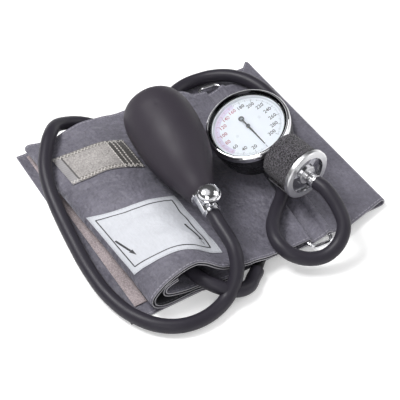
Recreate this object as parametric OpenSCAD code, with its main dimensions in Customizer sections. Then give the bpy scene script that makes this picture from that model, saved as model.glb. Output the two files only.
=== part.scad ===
// Aneroid blood pressure set: a D-ring cuff rolled up on a table, its squeeze bulb with the
// air release valve, the dial gauge with its movement, and the two rubber tubes.
// +X runs along the folded cuff to its flap, +Y across it to its far edge, +Z up from the table.

/* [Cuff] */
// Width of the cuff across the arm
cuff_w = 150; // [140:1:170]
// Length of the folded cuff on the table
fold_l = 168; // [160:1:190]
// Thickness of one cloth panel
cloth_t = 0.7; // [0.5:0.1:0.9]
// Thickness of the flat air bladder
bladder_t = 0.8; // [0.6:0.1:1.0]
// Thickness of the doubled tail strap
tail_t = 1.2; // [1:0.1:1.4]
// Gap kept between two cloth layers
layer_gap = 0.1; // [0.1:0.05:0.2]
// Inner radius of the fold at the flap end
flap_fold_r = 1.6; // [1.2:0.1:2.5]
// Thickness of the hook and loop tape
tape_t = 1; // [0.7:0.1:1.4]
// Width of the hook patch
patch_w = 28; // [22:1:34]
// Thickness of the satin label
label_t = 0.3; // [0.2:0.05:0.5]
// Width of the label across the cuff
label_w = 54; // [40:1:58]

/* [D-ring] */
// Wire thickness of the ring
ring_wire = 2.6; // [2.2:0.1:3]
// Distance between the ring's two long bars
ring_pitch = 14.5; // [12:0.5:16]
// Overall length of the ring
ring_l = 156; // [153:1:159]
// Length of the cloth sleeve that holds the ring
sleeve_l = 9; // [7:0.5:11]
// Room between the wire and its sleeve
ring_gap = 0.2; // [0.15:0.05:0.4]
// Play of the ring along its sleeve, each way
ring_play = 0.5; // [0.3:0.1:0.8]

/* [Bulb] */
// Largest diameter of the bulb
bulb_d = 43; // [40:0.5:46]
// Length of the bulb from end to end
bulb_l = 84; // [80:1:88]
// Wall of the bulb
bulb_wall = 2.4; // [1.8:0.1:3]
// Outer diameter of the bulb's neck
neck_d = 16; // [15:0.5:18]
// Bore of the bulb's neck
neck_bore = 11; // [10:0.5:12]
// Diameter of the inlet check ball
ball_d = 4; // [3.5:0.1:4.4]
// Travel of the inlet check ball
ball_lift = 0.8; // [0.5:0.1:1]

/* [Release valve] */
// Diameter of the valve body
valve_d = 11; // [10:0.5:12]
// Diameter of the thumbscrew's head
knob_d = 14; // [12:0.5:16]
// Diameter of the thumbscrew's shank
screw_d = 3.6; // [3:0.1:4]
// Lead of the thumbscrew's thread
screw_lead = 0.7; // [0.5:0.05:0.8]
// Turns from shut to fully open
screw_turns = 1.5; // [1:0.25:2]
// Travel of the outlet check disc
leaf_lift = 0.6; // [0.4:0.1:0.8]

/* [Gauge] */
// Outer diameter of the bezel
bezel_d = 52; // [50:0.5:54]
// Height of the gauge from its back to the bezel
gauge_h = 25; // [24:0.5:27]
// Diameter of the dial that shows
dial_show_d = 42; // [40:0.5:43]
// Depth of the inlet's axis under the bezel's rim
inlet_drop = 7.2; // [7:0.1:7.6]
// Wall of the case
case_wall = 1.6; // [1.2:0.1:2]
// Thickness of the crystal
crystal_t = 1.2; // [1:0.1:1.5]
// Sweep of the pointer over its scale in degrees
sweep = 330; // [300:1:330]

/* [Movement] */
// Module of the sector and pinion teeth
gear_m = 0.3; // [0.26:0.01:0.32]
// Teeth of the pinion
pinion_z = 8; // [8:1:8]
// Ratio between the sector and the pinion
gear_ratio = 10; // [10:1:10]
// Diameter of the pressure capsule
capsule_d = 27; // [24:0.5:28]
// Lift of the capsule's stud at full scale
stud_lift = 1.6; // [1.2:0.1:1.8]
// Turns of the hairspring
hair_turns = 4; // [3:1:5]

/* [Inlet] */
// Diameter of the chrome flange
flange_d = 32; // [30:0.5:34]
// Outer diameter of the wound keeper band
band_d = 30; // [28:0.5:30]
// Width of the keeper band
band_w = 19; // [16:0.5:19.5]
// Outer diameter of the inlet stem
stem_d = 5.4; // [5:0.1:5.6]
// Bore of the inlet
inlet_bore = 2.4; // [2:0.1:3]

/* [Tubes] */
// Outer diameter of the rubber tubes
tube_d = 8.4; // [8:0.1:8.6]

/* [Hidden] */
$fn = 48;
eps = 0.01;

// Colours
cloth_grey = "#5b5d68";
lining_grey = "#3c3f44";
rubber_black = "#26262a";
chrome = "#d5d8dc";
brass = "#b9974f";

// Plain helpers
function lerp(a, b, f) = a + (b - a) * f;
function unit(v) = v / norm(v);

// A smooth curve through points, with n steps between each two
function spline_at(p, i, f) =
  let (a = p[max(i - 1, 0)], b = p[i], c = p[i + 1], d = p[min(i + 2, len(p) - 1)])
  0.5 * (2 * b + (c - a) * f + (2 * a - 5 * b + 4 * c - d) * f * f
         + (3 * b - a - 3 * c + d) * f * f * f);
function spline_u(p, u) =
  let (i = min(floor(u), len(p) - 2))
  spline_at(p, i, u - i);
function spline(p, n) = [
  for (i = [0:len(p) - 2], k = [0:n - 1]) spline_at(p, i, k / n),
  p[len(p) - 1]
];
// Direction of a path of points at one of them
function path_dir(p, i) = unit(p[min(i + 1, len(p) - 1)] - p[max(i - 1, 0)]);
// The outward side of a path in the XZ plane, offset by a distance
function side_of(t) = [t[1], -t[0]];
function offset_path(p, dist) = [for (i = [0:len(p) - 1]) p[i] + dist * side_of(path_dir(p, i))];

// Faces of a closed body made of equal rings
function ring_faces(rings, n) = concat(
  [for (r = [0:rings - 2], k = [0:n - 1])
    [r * n + k, r * n + (k + 1) % n, (r + 1) * n + (k + 1) % n]],
  [for (r = [0:rings - 2], k = [0:n - 1])
    [r * n + k, (r + 1) * n + (k + 1) % n, (r + 1) * n + k]]);
// Faces of a sheet, with each quad of its underside split the same way as the quad above it
function sheet_faces(rings, n) = [
  for (r = [0:rings - 2], k = [0:n - 1], h = [0, 1])
    let (a = r * n + k, b = r * n + (k + 1) % n, c = b + n, d = a + n)
    k < n / 2 ? (h == 0 ? [a, b, c] : [a, c, d]) : (h == 0 ? [a, b, d] : [b, c, d])
];
// Faces across a strip's open end, where ring points run out along one side and back on the other
function strip_cap(start, n, flip) = [
  for (k = [0:n / 2 - 2], h = [0, 1])
    let (a = start + k, b = start + k + 1, c = start + n - 2 - k, d = start + n - 1 - k)
    h == 0 ? (flip ? [a, c, b] : [a, b, c]) : (flip ? [a, d, c] : [a, c, d])
];
function fan_cap(start, n, flip) = [
  for (k = [1:n - 2]) flip ? [start, start + k + 1, start + k] : [start, start + k, start + k + 1]
];

// A sheet lofted over stations across the cuff. paths holds one XZ path per station.
module sheet(paths, edges, thick) {
  n = len(paths[0]) * 2;
  pts = [
    for (s = [0:len(paths) - 1])
      let (up = offset_path(paths[s], thick / 2), low = offset_path(paths[s], -thick / 2))
      for (k = [0:n - 1])
        let (j = k < n / 2 ? k : n - 1 - k, q = k < n / 2 ? up[j] : low[j])
        [q[0], edges[s][j], q[1]]
  ];
  polyhedron(
    points = pts,
    faces = concat(
      strip_cap(0, n, true),
      sheet_faces(len(paths), n),
      strip_cap((len(paths) - 1) * n, n, false)),
    convexity = 8);
}

// A round rubber tube swept along its route
module tube(route, d, sides) {
  pts = [
    for (i = [0:len(route) - 1])
      let (t = path_dir(route, i), s = unit(cross(t, [0, 0, 1])), u = cross(s, t))
      for (k = [0:sides - 1])
        let (a = 360 * (k + 0.5) / sides)
        route[i] + d / 2 * (cos(a) * s + sin(a) * u)
  ];
  polyhedron(
    points = pts,
    faces = concat(
      fan_cap(0, sides, true),
      ring_faces(len(route), sides),
      fan_cap((len(route) - 1) * sides, sides, false)),
    convexity = 8);
}

// ---- Rolled cuff ----
half_w = cuff_w / 2;
half_l = fold_l / 2;
// The panels hold the bladder between them
sandwich_t = 2 * cloth_t + 2 * layer_gap + bladder_t;
panel_shift = (bladder_t + cloth_t) / 2 + layer_gap;
base_mid = tail_t + 2 * layer_gap + sandwich_t / 2;
back_mid = base_mid + sandwich_t + 1.1;
turn_mid = (base_mid + back_mid) / 2;
roll_x = 84 - half_l;

// The ring lies a little askew. Its own frame has U across the bars and V along them.
ring_turn = -7.7;
ring_at = [31.8, -7];
ring_z = 2 * tail_t + 2 * layer_gap + 0.2 + cloth_t + ring_gap + ring_wire / 2;
sleeve_r = ring_wire / 2 + ring_gap + cloth_t / 2;
// Inner bend of the ring's corners, and the straight run between them
ring_bend = 4;
ring_run = ring_l - ring_wire - 2 * ring_bend;
function ring_x(y) = ring_at[0] - (y - ring_at[1]) * tan(ring_turn);
module at_ring() {
  translate([ring_at[0], ring_at[1], 0])
    rotate([0, 0, ring_turn])
      children();
}

// Middle line of the wrap at its near edge and at its far edge: from the ring's sleeve over the
// top, round the roll, back underneath, and round once more inside
near_x0 = ring_x(-half_w) - sleeve_l;
far_x0 = ring_x(half_w) - sleeve_l;
near_mid = [
  [near_x0, 6.4], [6, 7.4], [-6, 8.8], [-14, 10.8], [-22, 12.4], [-36, 16.6], [-46, 23.6],
  [-54, 25.6], [-64, 24], [-73, 19.5], [-79, 13], [-78, 6.8], [-71, base_mid + 0.4],
  [-58, base_mid], [-30, base_mid], [-26, turn_mid], [-30, back_mid], [-52, back_mid],
  [-64, 8.8], [-71, 12.5], [-70.5, 17.5], [-63, 20]
];
far_mid = [
  [far_x0, 8], [27, 12.8], [13, 13.2], [-4, 11.6], [-18, 12.6], [-30, 15.4], [-42, 17.6],
  [-52, 16.6], [-62, 13.8], [-72, 11.4], [-78, 9], [-77, 5.6], [-70, base_mid + 0.4],
  [-62, base_mid], [-47, base_mid], [-43.4, turn_mid], [-47, back_mid], [-56, back_mid],
  [-61, 6.8], [-65, 7.4], [-67, 8.6], [-64, 9.6]
];
// How much the top sinks halfway across, from the sleeve on
mid_sag = [1.4, 5.6, 6.4, 4.6, 2.8];
mid_last = len(near_mid) - 1;
// Points of the middle line at share f of the way across
function sag_at(i, f) = i < len(mid_sag) ? mid_sag[i] * (1 - pow(2 * f - 1, 2)) : 0;
function mid_pts(f) = [
  for (i = [0:mid_last]) lerp(near_mid[i], far_mid[i], f) - [roll_x, sag_at(i, f)]
];
// The wrap lies slightly askew on the tail, so its edges drift along X
near_edge = [[-90, 3], [-50, 3], [-36, -1.5], [-22, -3], [60, -3.5]];
far_edge = [[-90, 4], [-77, 3.5], [-68, -3], [-60, -4.5], [10, -4.5], [34, -11.5], [60, -11.5]];
function edge_y(f, x) =
  lerp(-half_w + lookup(x, near_edge), half_w + lookup(x, far_edge), f);
stations = [0, 0.08, 0.29, 0.5, 0.71, 0.92, 1];

// The sleeve's cloth round the ring bar, drawn before the middle line
function sleeve_pts(f) =
  let (c = [ring_x(lerp(-half_w, half_w, f)), ring_z])
  concat(
    [c + [-sleeve_l, -sleeve_r], c + [-sleeve_l / 2, -sleeve_r]],
    [for (a = [-90:45:90]) c + sleeve_r * [cos(a), sin(a)]]);
function outer_path(f) =
  let (mid = spline(mid_pts(f), 2), body = offset_path(mid, panel_shift))
  concat(sleeve_pts(f), [for (i = [0:len(body) - 1]) body[i]]);
function lining_path(f) = offset_path(spline(mid_pts(f), 2), -panel_shift);
function bladder_path(f) =
  let (mid = spline(mid_pts(f), 2))
  [for (i = [2:2 * (mid_last - 7)]) mid[i]];
function sheet_edges(paths, fs) = [
  for (s = [0:len(fs) - 1]) [for (q = paths[s]) edge_y(fs[s], q[0])]
];

module panel(paths, fs, thick) {
  sheet(paths, sheet_edges(paths, fs), thick);
}

module outer_panel() {
  color(cloth_grey)
    panel([for (f = stations) outer_path(f)], stations, cloth_t);
}

module lining_panel() {
  color(lining_grey)
    panel([for (f = stations) lining_path(f)], stations, cloth_t);
}

// The flat bladder stays clear of the seams along both long edges
bladder_fs = [for (k = [1:len(stations) - 2]) stations[k]];
module bladder() {
  color("#8a7f78")
    panel([for (f = bladder_fs) bladder_path(f)], bladder_fs, bladder_t);
}

// A patch on the wrap's outer face, between two places u of the middle line and two widths.
// Its rows bend at the same places as the panel under it.
function patch_us(u0, u1) = concat(
  [u0], [for (k = [ceil(2 * u0 + 0.2):floor(2 * u1 - 0.2)]) k / 2], [u1]);
// Share of the way across the wrap at place u of its middle line and position y
function share_at(u, y) =
  let (
    x = spline_u(mid_pts((y + half_w) / cuff_w), u)[0],
    near = edge_y(0, x))
  (y - near) / (edge_y(1, x) - near);
function patch_path(us, ys, lift) =
  let (
    row = [for (k = [0:len(us) - 1]) spline_u(mid_pts(share_at(us[k], ys[k])), us[k])],
    from = spline_u(mid_pts(share_at(us[0], ys[0])), us[0] - 0.5),
    past = spline_u(mid_pts(share_at(us[len(us) - 1], ys[len(us) - 1])), us[len(us) - 1] + 0.5),
    out = offset_path(concat([from], row, [past]), lift))
  [for (k = [1:len(us)]) out[k]];
module patch(u0, u1, v0, v1, shifts, thick) {
  us = patch_us(u0, u1);
  ys = [for (r = [0:4]) [for (u = us)
    lerp(-half_w, half_w, lerp(v0, v1, r / 4)) + lerp(shifts[0], shifts[1], (u - u0) / (u1 - u0))]];
  lift = panel_shift + (cloth_t + thick) / 2 + 2 * layer_gap;
  sheet([for (y = ys) patch_path(us, y, lift)], ys, thick);
}

patch_v = 0.655;
module hook_patch() {
  color("#a9a59c")
    patch(4.9, 9, patch_v, patch_v + patch_w / cuff_w, [-7, 5], tape_t);
}

label_v = 0.125;
module label() {
  color("white")
    patch(4.6, 9.8, label_v, label_v + label_w / cuff_w, [-9.5, 5], label_t);
}

// ---- Tail strap: flat under the roll, folded at the flap end, back over the ring's free bar ----
tail_top = 2 * flap_fold_r + tail_t;
fold_x = half_l - flap_fold_r - tail_t;
// The fold lies a little askew, and the left border fans out towards the far edge
fold_turn = -1.6;
left_near = [4.2 - half_l, -half_w];
left_far = [-half_l, half_w + 7];
module at_fold() {
  translate([fold_x, 0, 0])
    rotate([0, 0, fold_turn])
      children();
}
function fold_pt(u, v) = [
  fold_x + u * cos(fold_turn) - v * sin(fold_turn), u * sin(fold_turn) + v * cos(fold_turn)
];
module across(w) {
  translate([0, w / 2, 0])
    rotate([90, 0, 0])
      linear_extrude(height = w)
        children();
}

thread_z = tail_t + layer_gap;
over_r = ring_wire / 2 + ring_gap;
// Where the strap has come back down to its own top layer, across from the ring
land_x = ring_pitch + 12;
thread_w = ring_run - 2 * ring_play - 1;
function land_pt(v) = ring_at + [
  land_x * cos(ring_turn) - v * sin(ring_turn), land_x * sin(ring_turn) + v * cos(ring_turn)
];
// A strip of thickness t along a path of points
module strip(path, t) {
  low = offset_path(path, -t / 2);
  polygon(concat(offset_path(path, t / 2), [for (i = [len(path) - 1:-1:0]) low[i]]));
}
// Strap threaded up through the ring, over its free bar and down, in the ring's frame
thread_path = concat(
  [[-sleeve_l, thread_z + tail_t / 2], [0, thread_z + tail_t / 2],
   [sleeve_r + 1, thread_z + tail_t / 2]],
  [for (a = [165:-30:15])
    [ring_pitch, ring_z] + (over_r + tail_t / 2 + 0.1) * [cos(a), sin(a)]],
  [[land_x - 4, tail_top + tail_t / 2], [land_x + 0.1, tail_top + tail_t / 2]]);
fold_path = concat(
  [[-0.1, -flap_fold_r - tail_t / 2]],
  [for (a = [-75:15:75]) (flap_fold_r + tail_t / 2) * [cos(a), sin(a)]],
  [[-0.1, flap_fold_r + tail_t / 2]]);

module cuff_tail() {
  color(cloth_grey) {
    // Bottom layer, the face that the cuff rests on
    linear_extrude(height = tail_t)
      polygon([left_near, fold_pt(eps, -half_w), fold_pt(eps, half_w), left_far]);
    // Fold at the flap end
    at_fold()
      translate([0, 0, tail_t + flap_fold_r])
        across(cuff_w)
          strip(fold_path, tail_t);
    // Top layer back to the ring, narrowed to pass through it
    translate([0, 0, tail_top])
      linear_extrude(height = tail_t)
        polygon([
          land_pt(-thread_w / 2), fold_pt(eps, -half_w), fold_pt(eps, half_w), land_pt(thread_w / 2)
        ]);
    at_ring()
      across(thread_w + 0.4)
        strip(thread_path, tail_t);
  }
}

// ---- D-ring: one closed loop of wire with a bar in the sleeve and a free bar ----
module d_ring() {
  color(chrome)
    at_ring()
      translate([ring_pitch / 2, 0, ring_z]) {
        for (side = [-1, 1]) {
          translate([side * ring_pitch / 2, 0, 0])
            rotate([90, 0, 0])
              cylinder(d = ring_wire, h = ring_run + 2 * eps, center = true);
          translate([0, side * (ring_run / 2 + ring_bend), 0])
            rotate([0, 90, 0])
              cylinder(d = ring_wire, h = ring_pitch - 2 * ring_bend + 2 * eps, center = true);
          for (end = [-1, 1])
            translate([side * (ring_pitch / 2 - ring_bend), end * ring_run / 2, 0])
              rotate([0, 0, end * 45 + (side > 0 ? 0 : (end > 0 ? 90 : -90)) - 45])
                rotate_extrude(angle = 90)
                  translate([ring_bend, 0])
                    circle(d = ring_wire);
        }
      }
}

// Loop strip sewn along the tail's left border
strip_w = 8;
strip_t = 0.6;
module loop_strip() {
  inset = [0.6, 0];
  color("#a08f90")
    translate([0, 0, tail_t])
      linear_extrude(height = strip_t)
        polygon([
          left_near + inset + [0, 4], left_near + inset + [strip_w, 4],
          left_far + inset + [strip_w, -4], left_far + inset + [0, -4]
        ]);
}

// ---- Bladder ports: stubs under the wrap that the tubes push onto ----
port_d = 5.8;
port_l = 9;
bulb_port_at = [-14.4, -half_w - 4, tube_d / 2 + eps];
bulb_port_turn = -50;
gauge_port_at = [12.6, 67.2, tail_t + 3 * layer_gap + tube_d / 2];
gauge_port_turn = -60;
module port(at, dir, turn, rise) {
  translate(at)
    rotate([0, 0, turn])
    difference() {
      union() {
        rotate([dir * 90, 0, 0])
          cylinder(d = port_d, h = port_l);
        translate([0, -dir * (port_l - port_d / 2), 0]) {
          cylinder(d = port_d, h = rise - 0.8);
          translate([0, 0, rise - 0.8 - eps])
            cylinder(d = port_d, h = 0.8);
        }
      }
      rotate([dir * 90, 0, 0])
        translate([0, 0, -1])
          cylinder(d = inlet_bore, h = port_l - 1);
    }
}
module bulb_port() {
  color(rubber_black)
    port(bulb_port_at, -1, bulb_port_turn, 3.2);
}
module gauge_port() {
  color(rubber_black)
    port(gauge_port_at, 1, gauge_port_turn, 2.7);
}

// ---- Bulb ----
bulb_at = [-14, 12.3, 32.3];
bulb_turn = -9;
bulb_tilt = 4;
neck_y = -0.545 * bulb_l;
tip_y = neck_y + bulb_l;
module at_bulb() {
  translate(bulb_at)
    rotate([bulb_tilt, 0, bulb_turn])
      children();
}
// Outer radius along the bulb: an egg with a short neck
bulb_r = bulb_d / 2;
bulb_prof = [
  [4, tip_y], [9.5, tip_y - 1.6], [17, tip_y - 7.5], [22, tip_y - 17], [bulb_r - 0.3, tip_y - 28],
  [bulb_r, tip_y - 37], [bulb_r - 1.6, tip_y - 49], [bulb_r - 6.3, tip_y - 62],
  [bulb_r - 12.5, tip_y - 74], [neck_d / 2 + 1, tip_y - 82], [neck_d / 2, neck_y + 1],
  [neck_d / 2 - 0.8, neck_y]
];
module along_y() {
  rotate([-90, 0, 0])
    children();
}
module bulb() {
  outer = spline(bulb_prof, 3);
  n = len(outer) - 1;
  inner = [
    for (i = [n:-1:0])
      let (r = outer[i][0] - bulb_wall * 1.04, y = outer[i][1])
      if (r > neck_bore / 2 + 0.3 && y < tip_y - 6.5 && y > neck_y + 9) [r, y]
  ];
  color(rubber_black)
    at_bulb()
      along_y()
        rotate_extrude($fn = 64)
          polygon(concat(
            outer,
            [[neck_bore / 2, neck_y], [neck_bore / 2, neck_y + 9]],
            inner,
            [[seat_hole / 2 + 3.5, tip_y - 6.5], [seat_hole / 2 + 3.5, tip_y - 5],
             [seat_hole / 2, tip_y - 5], [seat_hole / 2, tip_y]]));
}

// ---- Inlet check in the bulb's far end ----
seat_hole = 8;
seat_d = seat_hole - 0.1;
rim_h = 0.6;
ball_r = ball_d / 2;
cage_r = ball_r + 0.35;
// The ball rests on the edge of its hole, at this depth from the tip
seat_r = 0.62 * ball_r;
seat_face = tip_y - 3;
ball_y = seat_face - sqrt(ball_r * ball_r - seat_r * seat_r) - 0.05;
// The lip that stops the ball after its travel, and the end of the seat behind it
lip_r = seat_r + 0.3;
lip_t = 1;
lip_y = ball_y - ball_lift - 0.05 - sqrt(ball_r * ball_r - lip_r * lip_r);
seat_base = lip_y - lip_t;
seat_len = tip_y + rim_h - seat_base;
module inlet_seat() {
  color(brass)
    at_bulb()
      translate([0, seat_base, 0])
        along_y()
          difference() {
            union() {
              cylinder(d = seat_d, h = seat_len);
              // Rim outside, and the barb behind the bulb's wall
              translate([0, 0, seat_len - rim_h])
                cylinder(d = seat_hole + 2.4, h = 0.8);
              translate([0, 0, seat_len - 6.9])
                cylinder(d = seat_hole + 1.6, h = 1.2);
            }
            // Cage bore behind its lip, seat hole and screen recess
            translate([0, 0, lip_t])
              cylinder(r = cage_r, h = seat_face - lip_y);
            translate([0, 0, -1])
              cylinder(r = seat_r, h = 20);
            translate([0, 0, -1])
              cylinder(r = lip_r, h = 3);
            translate([0, 0, seat_len - 0.8])
              cylinder(d = seat_hole - 1.6, h = 3);
          }
}
module inlet_ball() {
  color(chrome)
    at_bulb()
      translate([0, ball_y, 0])
        sphere(d = ball_d);
}
module inlet_screen() {
  color(chrome)
    at_bulb()
      translate([0, tip_y + 0.05, 0])
        along_y()
          difference() {
            cylinder(d = seat_hole - 1.8, h = 0.5);
            for (a = [0:60:300])
              rotate([0, 0, a])
                translate([1.7, 0, -1])
                  cylinder(d = 0.9, h = 3);
            translate([0, 0, -1])
              cylinder(d = 0.9, h = 3);
          }
}

// ---- Release valve ----
plug_l = 8.6;
boss_y = neck_y - 7.6;
boss_h = 8.2;
nipple_y = boss_y - 7;
screw_gap = 0.05;
seat_z = 1.6;
// How far the thumbscrew rises, and the room over its bore for the ring that seals it
screw_rise = screw_lead * screw_turns;
boss_room = 1.95 + screw_rise;
leaf_t = 0.8;
module valve_body() {
  color(chrome)
    at_bulb()
      difference() {
        union() {
          // Plug with its three grip ribs in the bulb's neck
          translate([0, neck_y - 1.4, 0])
            along_y()
              cylinder(d = neck_bore - 0.2, h = plug_l + 1.4);
          // Collar against the neck
          translate([0, neck_y - 1.5, 0])
            along_y()
              cylinder(d = neck_d - 1.5, h = 1.4);
          // Body with its end shoulder
          translate([0, boss_y - valve_d / 2, 0])
            along_y()
              cylinder(d = valve_d, h = neck_y - 1.4 - boss_y + valve_d / 2);
          translate([0, nipple_y, 0])
            along_y()
              cylinder(d = tube_d + 0.6, h = 2.6);
          // Screw boss
          translate([0, boss_y, 0])
            cylinder(d = 9, h = boss_h);
        }
        // Air way through the body
        translate([0, nipple_y - 1, 0])
          along_y()
            cylinder(d = inlet_bore, h = 60);
        // Room for the check disc in the plug's end
        translate([0, neck_y + plug_l - 3, 0])
          along_y() {
            cylinder(d = 7, h = leaf_t + leaf_lift + 0.1);
            cylinder(d = 5.4, h = 10);
          }
        // Screw bore and its vent slot
        translate([0, boss_y, seat_z])
          cylinder(d = screw_d + 2 * screw_gap, h = 20);
        translate([0, boss_y, boss_h - boss_room])
          cylinder(d = screw_d + 2.6, h = 5);
        translate([0, boss_y, boss_h - 3.4])
          translate([-10, -0.8, 0])
            cube([20, 1.6, 1.6]);
      }
}

module at_screw() {
  at_bulb()
    translate([0, boss_y, 0])
      children();
}
knob_z = boss_h + 0.5;
module thumbscrew() {
  color(chrome)
    at_screw() {
      // Shank down to the seat
      translate([0, 0, seat_z + 0.1])
        cylinder(d = screw_d, h = knob_z - seat_z);
      // Domed head over a thin grip rim
      translate([0, 0, knob_z])
        rotate_extrude() {
          dome = knob_d / 2 - 0.6;
          polygon(concat(
            [[0, 0], [knob_d / 2 - 1.2, 0], [knob_d / 2, 0.7], [knob_d / 2, 1.7], [knob_d / 2 - 0.5, 2.1]],
            [for (a = [0:10:90]) [dome * cos(a), 2.3 + 3.6 * sin(a)]]));
        }
      translate([0, 0, boss_h - 0.6])
        cylinder(d = screw_d + 0.8, h = 1.2);
    }
}
module valve_o_ring() {
  color(rubber_black)
    at_screw()
      translate([0, 0, boss_h - 1.9])
        rotate_extrude()
          translate([screw_d / 2 + 0.66, 0])
            circle(d = 1.2);
}
module check_disc() {
  color(rubber_black)
    at_bulb()
      translate([0, neck_y + plug_l - 3 + 0.05, 0])
        along_y()
          cylinder(d = 6.4, h = leaf_t);
}

// ---- Gauge ----
gauge_at = [30, -3.4, 37.5];
gauge_turn = 7;
gauge_tilt = -18;
// The dial sits turned by this much in its case
dial_turn = -7;
module at_gauge() {
  translate(gauge_at)
    rotate([0, gauge_tilt, gauge_turn])
      children();
}
bezel_r = bezel_d / 2;
bezel_wall = 1.1;
bezel_h = 4.2;
rim_r = bezel_r - 3.1;
case_r = bezel_r - bezel_wall - 0.1;
case_top = -4.1;
floor_z = -gauge_h + case_wall;
foot_r = bezel_r - 4.5;
dial_r = case_r - case_wall - 0.2;
dial_t = 0.5;
dial_z = case_top - dial_t;
inlet_z = -inlet_drop;

module bezel() {
  color(chrome)
    at_gauge()
      rotate_extrude($fn = 96)
        polygon(concat(
          [[rim_r, -0.8], [rim_r + 0.5, -0.3]],
          [for (a = [90:-15:0]) [bezel_r - 2.2 + 2.2 * cos(a), -2.2 + 2.2 * sin(a)]],
          [[bezel_r, -bezel_h + 0.5], [bezel_r - 0.5, -bezel_h],
           [case_r + 0.1, -bezel_h], [case_r + 0.1, -1.3], [rim_r, -1.3]]));
}

module crystal() {
  color([0.85, 0.92, 0.95, 0.35])
    at_gauge()
      translate([0, 0, -1.4 - crystal_t])
        cylinder(r = case_r - 0.1, h = crystal_t);
}

module crystal_gasket() {
  color(rubber_black)
    at_gauge()
      rotate_extrude($fn = 96)
        polygon([
          [dial_show_d / 2, case_top + 0.2], [dial_show_d / 2 + 0.6, -1.5 - crystal_t],
          [case_r - 0.1, -1.5 - crystal_t], [case_r - 0.1, case_top + 0.1],
          [dial_r + 0.4, case_top + 0.1], [dial_r + 0.4, case_top + 0.2]
        ]);
}

module case_outline(out) {
  polygon(concat(
    [[0, out ? -gauge_h : floor_z]],
    [for (a = [-90:15:0]) [
      (out ? foot_r : foot_r - case_wall) - 2 + 2 * cos(a),
      (out ? -gauge_h : floor_z) + 2 + 2 * sin(a)]],
    [[out ? case_r - 0.4 : case_r - case_wall - 0.4, -12], [out ? case_r : case_r - case_wall, -8],
     [out ? case_r : case_r - case_wall, out ? case_top : 1], [0, out ? case_top : 1]]));
}
module gauge_case() {
  color(rubber_black)
    at_gauge()
      difference() {
        rotate_extrude($fn = 96)
          difference() {
            case_outline(true);
            case_outline(false);
          }
        translate([0, 0, inlet_z])
          rotate([90, 0, 0])
            cylinder(d = stem_d + 0.2, h = 40);
      }
}

// Gear places: the sector's pivot lies up and left of the centre
pinion_r = gear_m * pinion_z / 2;
sector_r = pinion_r * gear_ratio;
pivot_angle = 157.7;
pivot_at = (pinion_r + sector_r) * [cos(pivot_angle), sin(pivot_angle)];
sector_span = sweep / gear_ratio;
arbor_r = 0.5;
pin_r = 0.4;
plate_t = 0.6;
lower_z = -9.9;
gear_z = lower_z + plate_t + 0.3;
gear_t = 0.9;
upper_z = -6.7;
pillar_r = 1.2;
pillar_at = 15.8;
pillar_angles = [75, 195, 315];

module dial() {
  color("white")
    at_gauge()
      translate([0, 0, dial_z])
        difference() {
          cylinder(r = dial_r, h = dial_t, $fn = 96);
          translate([0, 0, -1])
            cylinder(r = arbor_r + 0.5, h = 3);
          for (s = [-1, 1])
            translate([s * screw_x, 0, -1])
              cylinder(d = 1.2, h = 3);
        }
}
screw_x = 9;
module dial_screws() {
  color(chrome)
    at_gauge()
      for (s = [-1, 1])
        translate([s * screw_x, 0, upper_z + plate_t]) {
          cylinder(d = 1.1, h = dial_z + dial_t - upper_z - plate_t + 0.1);
          translate([0, 0, dial_z + dial_t - upper_z - plate_t + 0.02])
            cylinder(d = 2, h = 0.22);
          difference() {
            cylinder(d = 2.4, h = dial_z - upper_z - plate_t - 0.05);
            translate([0, 0, -1])
              cylinder(d = 1.1, h = 5);
          }
        }
}

pointer_z = -3.55;
pointer_l = dial_show_d / 2 - 3.2;
module pointer() {
  color("#141416")
    at_gauge()
      rotate([0, 0, dial_turn])
        translate([0, 0, pointer_z])
          difference() {
            union() {
              linear_extrude(height = 0.35)
                polygon([[-0.35, 0], [0.35, 0], [0.12, -pointer_l], [-0.12, -pointer_l]]);
              linear_extrude(height = 0.35)
                polygon([[-0.3, 0], [0.3, 0], [0.3, 6], [-0.3, 6]]);
              translate([0, 7.3, 0])
                difference() {
                  cylinder(r = 1.7, h = 0.35);
                  translate([0, 0, -1])
                    cylinder(r = 0.95, h = 3);
                }
              cylinder(r = 1.5, h = 0.6);
            }
            translate([0, 0, -1])
              cylinder(r = arbor_r + 0.02, h = 3);
          }
}

// One straight-flanked tooth, thinned for running clearance, on a wheel of pitch radius r
module tooth(r, a) {
  rotate([0, 0, a])
    polygon([
      [r - 1.3 * gear_m, -0.5 * gear_m], [r, -0.34 * gear_m], [r + 0.75 * gear_m, -0.12 * gear_m],
      [r + 0.75 * gear_m, 0.12 * gear_m], [r, 0.34 * gear_m], [r - 1.3 * gear_m, 0.5 * gear_m]
    ]);
}
module pinion_arbor() {
  color(brass)
    at_gauge() {
      translate([0, 0, lower_z + 0.1])
        cylinder(r = arbor_r, h = pointer_z + 0.5 - lower_z);
      translate([0, 0, gear_z])
        linear_extrude(height = gear_t) {
          circle(r = pinion_r - 1.15 * gear_m);
          for (k = [0:pinion_z - 1])
            tooth(pinion_r, pivot_angle + (k + 0.5) * 360 / pinion_z);
        }
    }
}

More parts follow.
